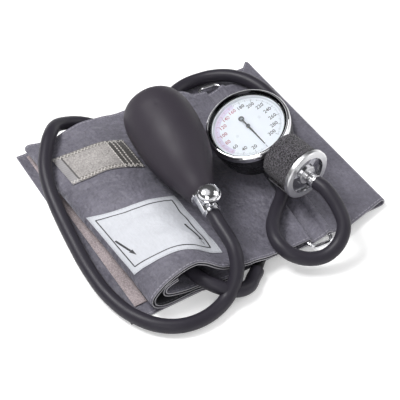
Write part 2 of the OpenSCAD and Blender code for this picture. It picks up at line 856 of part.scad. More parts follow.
tooth_step = 360 / (pinion_z * gear_ratio);
mesh_angle = pivot_angle - 180;
sector_teeth = ceil(sector_span / tooth_step) + 3;
tail_l = 3.6;
arm_angle = mesh_angle - sector_span / 2;
arm_w = 1;
fork_at = 5;
hub_r = 1.1;
rim_t = 1.6;
function ray(a) = [cos(a), sin(a)];
module sector_gear() {
  color(brass)
    at_gauge()
      translate([pivot_at[0], pivot_at[1], gear_z]) {
        linear_extrude(height = gear_t) {
          for (k = [-1:sector_teeth - 2])
            tooth(sector_r, mesh_angle - k * tooth_step);
          // Rim
          intersection() {
            difference() {
              circle(r = sector_r - 1.1 * gear_m, $fn = 96);
              circle(r = sector_r - rim_t);
            }
            polygon([
              [0, 0], 20 * ray(mesh_angle + 1.8 * tooth_step), 20 * ray(arm_angle),
              20 * ray(mesh_angle - sector_span - 1.8 * tooth_step)
            ]);
          }
          // Stem of the fan, its two struts and the hub
          difference() {
            union() {
              rotate([0, 0, arm_angle])
                translate([0, -arm_w / 2])
                  square([fork_at + 0.6, arm_w]);
              for (a = [mesh_angle + tooth_step, mesh_angle - sector_span - tooth_step])
                polygon([
                  (fork_at - 0.3) * ray(arm_angle), (fork_at + 0.6) * ray(arm_angle),
                  (sector_r - rim_t / 2) * ray(a + sign(arm_angle - a) * 1.2 * tooth_step),
                  (sector_r - rim_t / 2) * ray(a)
                ]);
              circle(r = hub_r);
              // Short tail that the rocking shaft pushes
              translate([0.4, push_y])
                square([tail_l, 0.7]);
            }
            circle(r = pin_r + 0.05);
          }
        }
      }
}

// The rocking shaft turns the capsule's lift into the sector's swing
rock_y = pivot_at[1];
rock_z = -12.6;
rock_arm = rock_y;
rock_swing = asin(stud_lift / rock_arm);
rock_r = 0.5;
ear_x = 1.1;
ear_t = 0.8;
push_len = gear_z + 0.7 - rock_z;
push_y = pin_r + 0.06;
push_x = pivot_at[0] + push_len * sin(rock_swing) / (2 * sin(sector_span / 2));
module rocking_shaft() {
  color(brass)
    at_gauge() {
      translate([push_x - 2.2, rock_y, rock_z])
        rotate([0, 90, 0])
          cylinder(r = rock_r, h = ear_x + 1.2 - push_x + 2.2);
      translate([push_x, rock_y, rock_z])
        cylinder(r = pin_r, h = push_len);
      // Finger that rests over the capsule's stud
      translate([-0.6, -0.9, rock_z - 0.25])
        cube([1.2, rock_y + 0.9, 0.5]);
    }
}

stud_top = rock_z - 0.3;
module capsule_stud() {
  color(brass)
    at_gauge() {
      translate([0, 0, capsule_top + 0.05])
        cylinder(r = 3, h = 0.5);
      translate([0, 0, capsule_top + 0.05])
        cylinder(r = 0.8, h = stud_top - capsule_top - 2);
      translate([0, 0, stud_top - 2.2])
        cylinder(r = 0.3, h = 2.2);
    }
}

// Two corrugated diaphragms joined at their rim
capsule_h = 3;
capsule_z = floor_z + 0.6;
capsule_top = capsule_z + capsule_h;
capsule_r = capsule_d / 2;
skin = 0.22;
function wave(r) = 0.22 * cos(r / (capsule_r - 1) * 360 * 4);
module capsule() {
  steps = 32;
  rr = capsule_r - 1;
  color("#c9a66b")
    at_gauge()
      translate([0, 0, capsule_z + capsule_h / 2])
        rotate_extrude($fn = 64)
          polygon(concat(
            [for (k = [0:steps]) [rr * k / steps, -capsule_h / 2 + 0.22 + wave(rr * k / steps)]],
            [[capsule_r, -0.3], [capsule_r, 0.3]],
            [for (k = [steps:-1:0]) [rr * k / steps, capsule_h / 2 - 0.22 + wave(rr * k / steps)]],
            [for (k = [0:steps]) [rr * k / steps, capsule_h / 2 - 0.22 - skin + wave(rr * k / steps)]],
            [for (k = [steps:-1:0]) [rr * k / steps, -capsule_h / 2 + 0.22 + skin + wave(rr * k / steps)]]));
}

// Points of a flat spiral, moved out by off
function spiral_pts(r0, r1, turns, off, steps) = [
  for (k = [0:turns * steps])
    (lerp(r0, r1, k / turns / steps) + off) * [cos(360 * k / steps), sin(360 * k / steps)]
];
// A wound strip with a straight loose end of length loose
module spiral(r0, r1, turns, w, steps, loose) {
  low = spiral_pts(r0, r1, turns, -w / 2, steps);
  polygon(concat(
    spiral_pts(r0, r1, turns, w / 2, steps),
    [[r1 + w / 2, loose], [r1 - w / 2, loose]],
    [for (k = [len(low) - 1:-1:0]) low[k]]));
}
hair_z = gear_z + gear_t + 0.35;
module hairspring() {
  color("#8c9aa6")
    at_gauge()
      translate([0, 0, hair_z])
        linear_extrude(height = 0.3)
          spiral(arbor_r + 0.12, 4.6, hair_turns, 0.14, 24, 0.4);
}

module plate_holes() {
  for (a = pillar_angles)
    rotate([0, 0, a])
      translate([pillar_at, 0])
        circle(r = pillar_r - 0.4);
}
module lower_plate() {
  color(brass)
    at_gauge() {
      translate([0, 0, lower_z])
        linear_extrude(height = plate_t)
          difference() {
            circle(r = pillar_at + 1.6);
            plate_holes();
            circle(r = arbor_r + 0.05);
            translate(pivot_at)
              circle(r = pin_r + 0.05);
            // Slot for the rocking shaft's push pin
            translate([push_x - 0.9, rock_y - 0.9])
              square([1.8, 3.4]);
            // Windows over the capsule's rim
            for (a = [255, 15])
              rotate([0, 0, a])
                translate([11, 0])
                  circle(r = 2.6);
          }
      // Ears that carry the rocking shaft
      for (x = [push_x - 0.9 - ear_t, ear_x])
        translate([x, rock_y, rock_z])
          rotate([90, 0, 90])
            linear_extrude(height = ear_t)
              difference() {
                union() {
                  circle(r = 1.2);
                  translate([-1.2, 0])
                    square([2.4, lower_z - rock_z + 0.1]);
                }
                circle(r = rock_r + 0.05);
              }
    }
}
module upper_plate() {
  color(brass)
    at_gauge()
      translate([0, 0, upper_z])
        linear_extrude(height = plate_t)
          difference() {
            union() {
              circle(r = 6.5);
              for (a = pillar_angles)
                rotate([0, 0, a])
                  translate([0, -2])
                    square([pillar_at + 1.6, 4]);
              translate([-screw_x - 2, -2])
                square([2 * screw_x + 4, 4]);
              translate(pivot_at / 2)
                rotate([0, 0, pivot_angle])
                  square([norm(pivot_at) + 3, 3.4], center = true);
            }
            plate_holes();
            circle(r = arbor_r + 0.05);
            translate(pivot_at)
              circle(r = pin_r + 0.05);
          }
}

// Pillars hold both plates off the case floor, with the sector's pivot pin among them
module plate_pillars() {
  color(chrome)
    at_gauge() {
      for (a = pillar_angles)
        rotate([0, 0, a])
          translate([pillar_at, 0, 0]) {
            translate([0, 0, floor_z])
              cylinder(r = pillar_r, h = lower_z - floor_z);
            translate([0, 0, lower_z + plate_t])
              cylinder(r = pillar_r, h = upper_z - lower_z - plate_t);
            translate([0, 0, lower_z - 0.5])
              cylinder(r = pillar_r - 0.4, h = plate_t + 1);
            translate([0, 0, upper_z - 0.5])
              cylinder(r = pillar_r - 0.4, h = plate_t + 0.5);
          }
      translate([pivot_at[0], pivot_at[1], lower_z])
        cylinder(r = pin_r, h = upper_z + plate_t - lower_z);
    }
}

// ---- Inlet, flange and keeper band ----
block_y = -19.2;
stem_in_d = 4;
stem_step_y = -dial_r - 0.3;
module inlet_block() {
  color(brass)
    at_gauge()
      difference() {
        intersection() {
          rotate_extrude($fn = 96)
            case_outline(false);
          union() {
            translate([-3.6, block_y - 1.8, floor_z])
              cube([7.2, 3.2, dial_z - 0.15 - floor_z]);
            translate([-2.4, block_y, floor_z])
              cube([4.8, -block_y + 3, 0.55]);
          }
        }
        translate([0, block_y + 0.6, inlet_z])
          rotate([90, 0, 0])
            cylinder(d = inlet_bore, h = 10);
        translate([0, block_y - 0.8, inlet_z])
          rotate([90, 0, 0])
            cylinder(d = stem_in_d, h = 10);
        translate([0, block_y, floor_z + 0.8])
          cylinder(d = inlet_bore - 0.4, h = inlet_z - floor_z);
      }
}
flange_y = -47.6;
flange_t = 3.2;
module along_stem(y) {
  at_gauge()
    translate([0, y, inlet_z])
      rotate([90, 0, 0])
        children();
}
module inlet_stem() {
  color(chrome)
    along_stem(block_y - 0.8)
      difference() {
        union() {
          cylinder(d = stem_in_d, h = block_y - 0.8 - flange_y);
          translate([0, 0, block_y - 0.8 - stem_step_y])
            cylinder(d = stem_d, h = stem_step_y - flange_y);
        }
        translate([0, 0, -1])
          cylinder(d = inlet_bore, h = 60);
      }
}
core_d = 18;
core_y = -bezel_r - 0.6;
core_l = core_y - flange_y;
module band_core() {
  color(rubber_black)
    along_stem(core_y)
      difference() {
        cylinder(d = core_d, h = core_l);
        translate([0, 0, -1])
          cylinder(d = stem_d, h = core_l + 2);
      }
}
band_turns = 4;
wind_gap = 0.12;
tape_wound = ((band_d - core_d) / 2 - 0.05 - band_turns * wind_gap) / (band_turns + 1);
tab_l = 9.2;
module keeper_band() {
  color("#2b2a2e")
    along_stem(core_y - (core_l - band_w) / 2)
      linear_extrude(height = band_w)
        rotate([0, 0, gauge_tilt])
          mirror([1, 0])
            rotate([0, 0, -90])
              spiral(
                (core_d + tape_wound) / 2 + 0.05, (band_d - tape_wound) / 2,
                band_turns, tape_wound, 24, tab_l);
}
module inlet_flange() {
  rib_n = 3;
  color(chrome)
    along_stem(flange_y)
      difference() {
        union() {
          rotate_extrude($fn = 96)
            polygon([
              [stem_d / 2 + 0.5, 0], [flange_d / 2 - 0.6, 0], [flange_d / 2, 0.6],
              [flange_d / 2, flange_t - 0.6], [flange_d / 2 - 0.6, flange_t],
              [flange_d / 2 - 4.2, flange_t], [flange_d / 2 - 4.8, flange_t - 1.6],
              [7, flange_t - 1.6], [6.2, flange_t - 0.2], [5.4, flange_t], [stem_d / 2 + 0.5, flange_t]
            ]);
          for (k = [0:rib_n - 1])
            rotate([0, 0, 30 + k * 360 / rib_n])
              translate([5, -1.2, 0.5])
                cube([flange_d / 2 - 8, 2.4, flange_t - 0.7]);
        }
        translate([0, 0, -1])
          cylinder(d = stem_d + 0.6, h = 1);
      }
}
nip_len = 7.6;
module inlet_nipple() {
  color(chrome)
    along_stem(flange_y)
      difference() {
        union() {
          cylinder(d = stem_d + 0.8, h = flange_t + 2.2);
          for (k = [0:2])
            translate([0, 0, flange_t + 0.6 + k * 1.5])
              cylinder(d = stem_d + 2, h = 0.8);
          cylinder(d = stem_d, h = flange_t + nip_len - 0.9);
          translate([0, 0, flange_t + nip_len - 1.2])
            cylinder(d = tube_d - 0.4, h = 1.2);
        }
        translate([0, 0, -1])
          cylinder(d = inlet_bore, h = 40);
      }
}

// ---- Tubes ----
function gauge_pt(p) =
  let (
    x = p[0] * cos(gauge_tilt) + p[2] * sin(gauge_tilt),
    z = -p[0] * sin(gauge_tilt) + p[2] * cos(gauge_tilt))
  gauge_at + [
    x * cos(gauge_turn) - p[1] * sin(gauge_turn),
    x * sin(gauge_turn) + p[1] * cos(gauge_turn),
    z];
function bulb_pt(p) =
  let (
    y = p[1] * cos(bulb_tilt) - p[2] * sin(bulb_tilt),
    z = p[1] * sin(bulb_tilt) + p[2] * cos(bulb_tilt))
  bulb_at + [
    p[0] * cos(bulb_turn) - y * sin(bulb_turn),
    p[0] * sin(bulb_turn) + y * cos(bulb_turn),
    z];
bulb_route = concat(
  [bulb_pt([0, nipple_y, 0]), bulb_pt([0, nipple_y - 7, 0])],
  [
    [-26.8, -73.8, 23.8], [-31.6, -83.2, 16.6], [-40.5, -87.8, 6.6], [-55.5, -92, 4.7],
    [-71, -90.5, 4.7], [-83, -82.5, 4.7], [-91.5, -68, 4.7], [-95.3, -48, 4.6],
    [-94.8, -26, 5.4], [-92.2, -4, 7.4], [-89, 17.2, 10.2], [-86, 33, 13.8],
    [-81.4, 46.8, 17.2], [-74.4, 58.4, 19.6], [-66.4, 68.2, 20.6], [-57.6, 76.9, 17.6],
    [-47.6, 80.6, 12.4], [-38.4, 79.8, 8.4], [-31.4, 74.2, 6.4], [-28.6, 65, 6],
    [-29, 55, 6.4], [-32, 45, 8.4], [-37.4, 36, 11], [-42.6, 26, 12], [-46, 12, 11.8],
    [-47, -8, 11.8], [-48, -32, 11.8],
    [-50, -56, 11.8], [-49, -68, 11.8], [-46, -77, 11.4], [-40.2, -84, 9.4], [-32.8, -87.6, 7],
    [-25.2, -86.8, 5.2], [-19.4, -82.6, 4.4]
  ],
  [bulb_port_at + 2 * [sin(bulb_port_turn), -cos(bulb_port_turn), 0], bulb_port_at]);
gauge_route = concat(
  [gauge_pt([0, flange_y - flange_t - nip_len, inlet_z]),
   gauge_pt([0, flange_y - flange_t - nip_len - 7, inlet_z])],
  [
    [40.5, -80, 26], [38, -90, 20.5], [31, -95, 14], [21.5, -95.5, 10], [12, -91.5, 9.5],
    [4.3, -84.2, 12], [2.8, -74.2, 13.9], [7.3, -63.4, 13.4], [16, -54, 12.2], [26, -45.5, 11.5],
    [36, -36, 11.4], [45.8, -26.4, 12.4], [54, -14, 12], [62, -2, 10.6], [69.5, 12, 10],
    [73.6, 26, 10], [74.6, 37, 10], [73.2, 48, 10], [69.6, 57.6, 10], [63.6, 66, 9.4],
    [56, 72.8, 7.6], [47.6, 76.4, 6.1], [39, 77.2, 5.8], [31.6, 75.9, 5.8], [25.4, 73.6, 5.7],
    [20.8, 71.4, 5.7]
  ],
  [gauge_port_at - 4 * [sin(gauge_port_turn), -cos(gauge_port_turn), 0], gauge_port_at]);

module bulb_tube() {
  color(rubber_black)
    tube(bulb_route, tube_d, 10);
}
module gauge_tube() {
  color(rubber_black)
    tube(gauge_route, tube_d, 10);
}

outer_panel();
lining_panel();
bladder();
cuff_tail();
d_ring();
hook_patch();
loop_strip();
label();
bulb_port();
gauge_port();
keeper_band();
bulb();
inlet_seat();
inlet_ball();
inlet_screen();
valve_body();
thumbscrew();
valve_o_ring();
check_disc();
gauge_case();
bezel();
crystal();
crystal_gasket();
dial();
pointer();
pinion_arbor();
sector_gear();
rocking_shaft();
capsule();
capsule_stud();
hairspring();
lower_plate();
upper_plate();
plate_pillars();
dial_screws();
inlet_block();
inlet_stem();
band_core();
inlet_flange();
inlet_nipple();
bulb_tube();
gauge_tube();
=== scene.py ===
import math

import bpy
import numpy as np
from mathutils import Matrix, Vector, noise


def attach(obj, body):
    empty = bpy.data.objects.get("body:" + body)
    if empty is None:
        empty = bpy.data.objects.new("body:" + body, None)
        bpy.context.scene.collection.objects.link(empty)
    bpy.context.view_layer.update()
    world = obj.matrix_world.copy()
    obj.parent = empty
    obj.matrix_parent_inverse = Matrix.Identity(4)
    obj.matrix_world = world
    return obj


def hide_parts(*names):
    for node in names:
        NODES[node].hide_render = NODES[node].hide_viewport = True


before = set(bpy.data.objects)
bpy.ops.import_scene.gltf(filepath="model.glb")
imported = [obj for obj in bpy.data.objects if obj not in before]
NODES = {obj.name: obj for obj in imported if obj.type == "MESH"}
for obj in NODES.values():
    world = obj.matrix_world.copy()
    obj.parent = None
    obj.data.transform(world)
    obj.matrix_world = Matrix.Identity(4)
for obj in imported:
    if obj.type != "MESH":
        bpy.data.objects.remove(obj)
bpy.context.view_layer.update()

MM = 0.001


# ---- Camera, floor and light ----
IMAGE_FOCAL_PX = 1400
IMAGE_PX = 400
SENSOR_MM = 36
LOOK_AZ = math.radians(-33.3)
LOOK_EL = math.radians(45.7)
LOOK_AT = Vector((-8.6, -10.9, 0)) * MM
LOOK_FROM = 844 * MM


def place_camera():
    data = bpy.data.cameras.new("camera")
    data.sensor_width = SENSOR_MM
    data.lens = SENSOR_MM * IMAGE_FOCAL_PX / IMAGE_PX
    data.clip_start = 0.02
    camera = bpy.data.objects.new("camera", data)
    bpy.context.scene.collection.objects.link(camera)
    back = Vector((
        math.sin(LOOK_AZ) * math.cos(LOOK_EL),
        -math.cos(LOOK_AZ) * math.cos(LOOK_EL),
        math.sin(LOOK_EL),
    ))
    camera.location = LOOK_AT + back * LOOK_FROM
    camera.rotation_mode = "QUATERNION"
    camera.rotation_quaternion = (-back).to_track_quat("-Z", "Y")
    bpy.context.scene.camera = camera


# ---- Materials: a small kit ----
class Tree:
    """Adds nodes to a node tree in short calls."""

    def __init__(self, tree):
        self.tree = tree

    def add(self, kind, **settings):
        node = self.tree.nodes.new(kind)
        for key, value in settings.items():
            if key.startswith("in_"):
                node.inputs[key[3:].replace("_", " ")].default_value = value
            else:
                setattr(node, key, value)
        return node

    def join(self, out, socket):
        self.tree.links.new(out, socket)

    def math(self, op, a, b=None, c=None, clamp=False):
        node = self.add("ShaderNodeMath", operation=op, use_clamp=clamp)
        for k, value in enumerate((a, b, c)):
            if value is None:
                continue
            if isinstance(value, (int, float)):
                node.inputs[k].default_value = value
            else:
                self.join(value, node.inputs[k])
        return node.outputs[0]

    def mix(self, share, a, b):
        """A colour between a and b. Each is a colour or a socket."""
        node = self.add("ShaderNodeMix", data_type="RGBA")
        for name, value in (("Factor", share), ("A", a), ("B", b)):
            socket = [s for s in node.inputs if s.name == name and s.enabled][0]
            if isinstance(value, (int, float)):
                socket.default_value = value
            elif isinstance(value, tuple):
                socket.default_value = (*value, 1)
            else:
                self.join(value, socket)
        return [s for s in node.outputs if s.enabled][0]

    def times(self, a, b):
        return self.math("MULTIPLY", a, b)

    def plus(self, a, b):
        return self.math("ADD", a, b)

    def minus(self, a, b):
        return self.math("SUBTRACT", a, b)

    def below(self, a, b):
        """1 where the first value is less than the second."""
        return self.math("LESS_THAN", a, b)

    def size_of(self, value):
        return self.math("ABSOLUTE", value)

    def vector(self, op, value, fixed=(0, 0, 0)):
        """Outputs of a vector operation on a socket and a fixed vector."""
        node = self.add("ShaderNodeVectorMath", operation=op)
        self.join(value, node.inputs[0])
        node.inputs[1].default_value = fixed
        return node.outputs

    def shaded(self, colour, shade):
        """A colour scaled by a shade that varies over the surface."""
        node = self.add("ShaderNodeVectorMath", operation="SCALE")
        node.inputs[0].default_value = colour
        self.join(shade, node.inputs["Scale"])
        return node.outputs[0]

    def place(self, name, **values):
        """Puts a shader group in this tree with its own values."""
        node = self.add("ShaderNodeGroup", node_tree=bpy.data.node_groups[name])
        for key, value in values.items():
            socket = node.inputs[key.replace("_", " ")]
            if isinstance(value, bpy.types.NodeSocket):
                self.join(value, socket)
            else:
                socket.default_value = value
        return node

    def speckle(self, where, scale, low, high, sharp):
        """Noise between two limits, at one grain."""
        return self.place("speckle", Vector=where, Scale=scale, Low=low, High=high, Sharp=sharp).outputs[0]

    def bump(self, height, strength, distance, under=None):
        """A bump, laid over a coarser one where one is given."""
        node = self.add("ShaderNodeBump", in_Strength=strength, in_Distance=distance)
        self.join(height, node.inputs["Height"])
        if under is not None:
            self.join(under, node.inputs["Normal"])
        return node.outputs[0]


def shader_group(name, inputs, outputs):
    tree = bpy.data.node_groups.new(name, "ShaderNodeTree")
    for label, kind, value in inputs:
        socket = tree.interface.new_socket(label, in_out="INPUT", socket_type=kind)
        if value is not None:
            socket.default_value = value
    for label in outputs:
        tree.interface.new_socket(label, in_out="OUTPUT", socket_type="NodeSocketFloat")
    t = Tree(tree)
    return t, t.add("NodeGroupInput").outputs, t.add("NodeGroupOutput").inputs


FLOAT, VECTOR = "NodeSocketFloat", "NodeSocketVector"
# Threads are uneven in long thin streaks
SLUB_STRETCH = (900, 120, 400)


def make_weave_group():
    """Plain weave: Height of the threads and Shade, which varies thread by thread."""
    inputs = [("Vector", VECTOR, None), ("Thread", FLOAT, 0.0005), ("Slub", FLOAT, 0.3)]
    t, given, out = shader_group("plain_weave", inputs, ["Height", "Shade"])
    split = t.add("ShaderNodeSeparateXYZ")
    t.join(given["Vector"], split.inputs[0])
    waves = []
    for axis in ("X", "Y"):
        turns = t.math("DIVIDE", split.outputs[axis], given["Thread"])
        waves.append(t.math("SINE", t.times(turns, math.pi)))
    over = t.times(*waves)
    t.join(t.size_of(over), out["Height"])
    slub = t.add("ShaderNodeTexNoise", in_Scale=1, in_Detail=2)
    t.join(t.vector("MULTIPLY", given["Vector"], SLUB_STRETCH)["Vector"], slub.inputs["Vector"])
    uneven = t.times(t.minus(slub.outputs["Fac"], 0.5), given["Slub"])
    t.join(t.plus(t.plus(0.85, uneven), t.times(over, 0.08)), out["Shade"])


def make_speckle_group():
    """Noise between two limits, at one grain."""
    inputs = [
        ("Vector", VECTOR, None), ("Scale", FLOAT, 200), ("Low", FLOAT, 0), ("High", FLOAT, 1), ("Sharp", FLOAT, 1),
    ]
    t, given, out = shader_group("speckle", inputs, ["Value"])
    grain = t.add("ShaderNodeTexNoise", in_Detail=4, in_Roughness=0.6)
    t.join(given["Vector"], grain.inputs["Vector"])
    t.join(given["Scale"], grain.inputs["Scale"])
    centred = t.times(t.minus(grain.outputs["Fac"], 0.5), given["Sharp"])
    share = t.math("ADD", t.times(centred, 2), 0.5, clamp=True)
    span = t.minus(given["High"], given["Low"])
    t.join(t.math("MULTIPLY_ADD", share, span, given["Low"]), out["Value"])


def make_stitch_group():
    """A row of stitches along one axis, at a set place on the other."""
    inputs = [(label, FLOAT, 0) for label in ("Along", "Across", "At")]
    inputs += [("Pitch", FLOAT, 0.003), ("Width", FLOAT, 0.0004)]
    t, given, out = shader_group("stitch_row", inputs, ["Mask"])
    away = t.size_of(t.minus(given["Across"], given["At"]))
    near = t.below(away, given["Width"])
    phase = t.math("FRACT", t.math("DIVIDE", given["Along"], given["Pitch"]))
    t.join(t.times(near, t.below(phase, 0.72)), out["Mask"])


def make_pile_group():
    """Loops of a hook and loop tape: Height and Shade of single loops."""
    inputs = [("Vector", VECTOR, None), ("Scale", FLOAT, 900)]
    t, given, out = shader_group("tape_pile", inputs, ["Height", "Shade"])
    loops = t.add("ShaderNodeTexVoronoi", in_Randomness=0.9)
    t.join(given["Vector"], loops.inputs["Vector"])
    t.join(given["Scale"], loops.inputs["Scale"])
    fuzz = t.add("ShaderNodeTexNoise", in_Detail=3)
    t.join(given["Vector"], fuzz.inputs["Vector"])
    t.join(given["Scale"], fuzz.inputs["Scale"])
    body = t.minus(1, loops.outputs["Distance"])
    t.join(t.times(body, fuzz.outputs["Fac"]), out["Height"])
    t.join(t.plus(0.55, t.times(body, t.times(fuzz.outputs["Fac"], 1.1))), out["Shade"])


def start_material(name, **shader):
    """A material with one Principled shader, its fixed values and object coordinates."""
    material = bpy.data.materials.new(name)
    material.use_nodes = True
    t = Tree(material.node_tree)
    bsdf = material.node_tree.nodes["Principled BSDF"]
    for key, value in shader.items():
        socket = bsdf.inputs[key.replace("_", " ")]
        socket.default_value = (*value, 1) if socket.type == "RGBA" else value
    return material, t, bsdf, t.add("ShaderNodeTexCoord").outputs["Object"]


def dress(t, bsdf, **sockets):
    """Joins values to the shader's own inputs."""
    for key, value in sockets.items():
        t.join(value, bsdf.inputs[key.replace("_", " ")])


def cut_place(t):
    """Place on a cloth piece's own cut, in metres: along and across."""
    split = t.add("ShaderNodeSeparateXYZ")
    uv = t.add("ShaderNodeUVMap", uv_map="cut").outputs[0]
    t.join(uv, split.inputs[0])
    return uv, split.outputs["X"], split.outputs["Y"]


STITCH_W = 0.00033


def cloth_material(name, colour, thread, roughness, sheen, stitch_rows=(), stitch_colour=(0.27, 0.26, 0.3),
                   worn=0.1, slub=0.35, crumple=0.0):
    """Woven cloth with rows of stitches. A row is (across or along, place, pitch)."""
    material, t, bsdf, where = start_material(
        name, Sheen_Weight=sheen, Sheen_Roughness=0.45, Sheen_Tint=(0.75, 0.75, 0.85), Specular_IOR_Level=0.35
    )
    uv, along, across = cut_place(t)
    weave = t.place("plain_weave", Vector=uv, Thread=thread, Slub=slub)
    patches = t.speckle(where, 38, 1 - worn, 1 + worn, 1.4)
    grain = t.speckle(where, 620, 1 - worn * 0.8, 1 + worn * 0.8, 1.5)
    shade = t.times(weave.outputs["Shade"], t.times(patches, grain))
    base = t.shaded(colour, shade)
    mask, height = None, t.times(weave.outputs["Height"], 0.35)
    for axis, at, pitch in stitch_rows:
        a, b = (along, across) if axis == "across" else (across, along)
        row = t.place("stitch_row", Along=a, Across=b, At=at, Pitch=pitch, Width=STITCH_W).outputs[0]
        mask = row if mask is None else t.math("MAXIMUM", mask, row)
    if mask is not None:
        base = t.mix(mask, base, stitch_colour)
        height = t.plus(height, mask)
    dress(t, bsdf, Base_Color=base)
    fuzz = t.speckle(where, 220, roughness - 0.08, roughness + 0.08, 1)
    dress(t, bsdf, Roughness=fuzz)
    under = None
    if crumple:
        broad = t.speckle(where, 34, 0, 1, 1)
        small = t.speckle(where, 120, 0, 0.18, 1)
        under = t.bump(t.plus(broad, small), crumple, 0.005)
    dress(t, bsdf, Normal=t.bump(height, 0.5, 0.0003, under))
    return material


def pile_material(name, colour, scale, sheen=0.3):
    """Loop tape: soft loops with a little variation in tone."""
    material, t, bsdf, where = start_material(name, Roughness=0.9, Sheen_Weight=sheen, Specular_IOR_Level=0.2)
    pile = t.place("tape_pile", Vector=where, Scale=scale)
    patches = t.speckle(where, 60, 0.85, 1.15, 1.2)
    shade = t.times(pile.outputs["Shade"], patches)
    dress(t, bsdf, Base_Color=t.shaded(colour, shade))
    dress(t, bsdf, Normal=t.bump(pile.outputs["Height"], 1.0, 0.0006))
    return material


# Hook tape, in metres from its right end or its long edges
HOOK_SELVEDGE, HOOK_STRIP, HOOK_BAND = 0.0034, 0.0052, 0.0105
HOOK_STITCHES = (0.0012, 0.0055, 0.0078, 0.0108)


def hook_material(patch):
    """Hook tape: a field of hooks, a woven selvedge with zigzag stitching along both long edges,
    a ribbed strip at the left end and a darker band with three stitch lines at the right end."""
    material, t, bsdf, where = start_material("hook_tape", Roughness=0.62, Sheen_Weight=0.15, Specular_IOR_Level=0.3)
    _, along, across = cut_place(t)
    length, width = patch.length * MM, patch.width * MM
    hooks = t.place("tape_pile", Vector=where, Scale=950)
    patches = t.speckle(where, 90, 0.85, 1.15, 1.3)
    shade = t.times(hooks.outputs["Shade"], patches)
    field = t.shaded((0.41, 0.385, 0.375), shade)
    side = t.minus(width / 2, t.size_of(t.minus(across, width / 2)))
    selvedge = t.below(side, HOOK_SELVEDGE)
    base = t.mix(selvedge, field, t.shaded((0.2, 0.185, 0.175), patches))
    strip = t.math("GREATER_THAN", along, length - HOOK_STRIP)
    base = t.mix(strip, base, t.shaded((0.3, 0.29, 0.3), patches))
    # Painted shadow: a dark line where the ribbed strip meets the field of hooks
    off_shadow_line = t.size_of(t.minus(along, length - HOOK_STRIP - 0.0004))
    base = t.mix(t.below(off_shadow_line, 0.0005), base, (0.1, 0.095, 0.095))
    band = t.below(along, HOOK_BAND)
    base = t.mix(band, base, t.shaded((0.085, 0.078, 0.074), shade))
    zigzag = t.times(t.math("PINGPONG", along, 0.0011), 1.9)
    off_zigzag = t.size_of(t.minus(side, t.plus(0.0008, zigzag)))
    thread = t.below(off_zigzag, 0.0004)
    for place in HOOK_STITCHES:
        row = t.place("stitch_row", Along=across, Across=along, At=place, Pitch=0.0022, Width=0.00036)
        thread = t.math("MAXIMUM", thread, row.outputs[0])
    ribs = t.below(t.math("FRACT", t.math("DIVIDE", across, 0.0018)), 0.35)
    ribs = t.times(ribs, strip)
    base = t.mix(t.times(ribs, 0.5), base, (0.25, 0.23, 0.22))
    base = t.mix(thread, base, (0.66, 0.63, 0.6))
    dress(t, bsdf, Base_Color=base)
    rough_field = t.minus(1, t.math("MAXIMUM", selvedge, strip))
    height = t.plus(t.times(hooks.outputs["Height"], rough_field), thread)
    dress(t, bsdf, Normal=t.bump(height, 1.0, 0.0006))
    return material


def speckled_pile_material(name, dark, light):
    """Black loop pile whose loop tops catch the light as fine speckles."""
    material, t, bsdf, where = start_material(name, Roughness=0.85, Sheen_Weight=0.25, Specular_IOR_Level=0.2)
    pile = t.place("tape_pile", Vector=where, Scale=1250)
    tips = t.speckle(where, 1300, 0, 1, 2.6)
    share = t.times(t.math("POWER", tips, 2.5), 0.62)
    dress(t, bsdf, Base_Color=t.mix(share, dark, light))
    dress(t, bsdf, Normal=t.bump(t.plus(pile.outputs["Height"], tips), 1.0, 0.0005))
    return material


def rubber_material(name, colour, low, high, dust=0.03, gloss=0.3):
    """Moulded black rubber with a fine grain and a trace of talc."""
    material, t, bsdf, where = start_material(name, Specular_IOR_Level=gloss)
    talc = t.speckle(where, 26, 0, 1, 1.6)
    dress(t, bsdf, Base_Color=t.mix(t.times(talc, dust), colour, (0.3, 0.29, 0.3)))
    grain = t.speckle(where, 1680, 0, 1, 1)
    dress(t, bsdf, Roughness=t.speckle(where, 90, low, high, 1.2), Normal=t.bump(grain, 0.12, 0.0002))
    return material


TARNISH = (0.1, 0.08, 0.05)


def metal_material(name, colour, low, high, brushed=0.0, tarnish=0.0):
    """Polished or machined metal with fine scratches and some tarnish."""
    material, t, bsdf, where = start_material(name, Metallic=1.0)
    cloud = t.speckle(where, 140, 0, 1, 1.5)
    dress(t, bsdf, Base_Color=t.mix(t.times(cloud, tarnish), colour, TARNISH))
    dress(t, bsdf, Roughness=t.speckle(where, 500, low, high, 1.4))
    if brushed:
        scratch = t.speckle(t.vector("MULTIPLY", where, (4000, 4000, 200))["Vector"], 1, 0, 1, 1)
        dress(t, bsdf, Normal=t.bump(scratch, brushed, 0.0001))
    return material


def paint_material(name, colour, low, high, coat=0.0):
    """Smooth paint or ink with a faint orange peel."""
    material, t, bsdf, where = start_material(name, Coat_Roughness=0.1, Coat_Weight=coat)
    patches = t.speckle(where, 60, 0.93, 1.05, 1.3)
    dress(t, bsdf, Base_Color=t.shaded(colour, patches))
    dress(t, bsdf, Roughness=t.speckle(where, 160, low, high, 1.2))
    peel = t.speckle(where, 700, 0, 1, 1)
    dress(t, bsdf, Normal=t.bump(peel, 0.05, 0.0002))
    return material


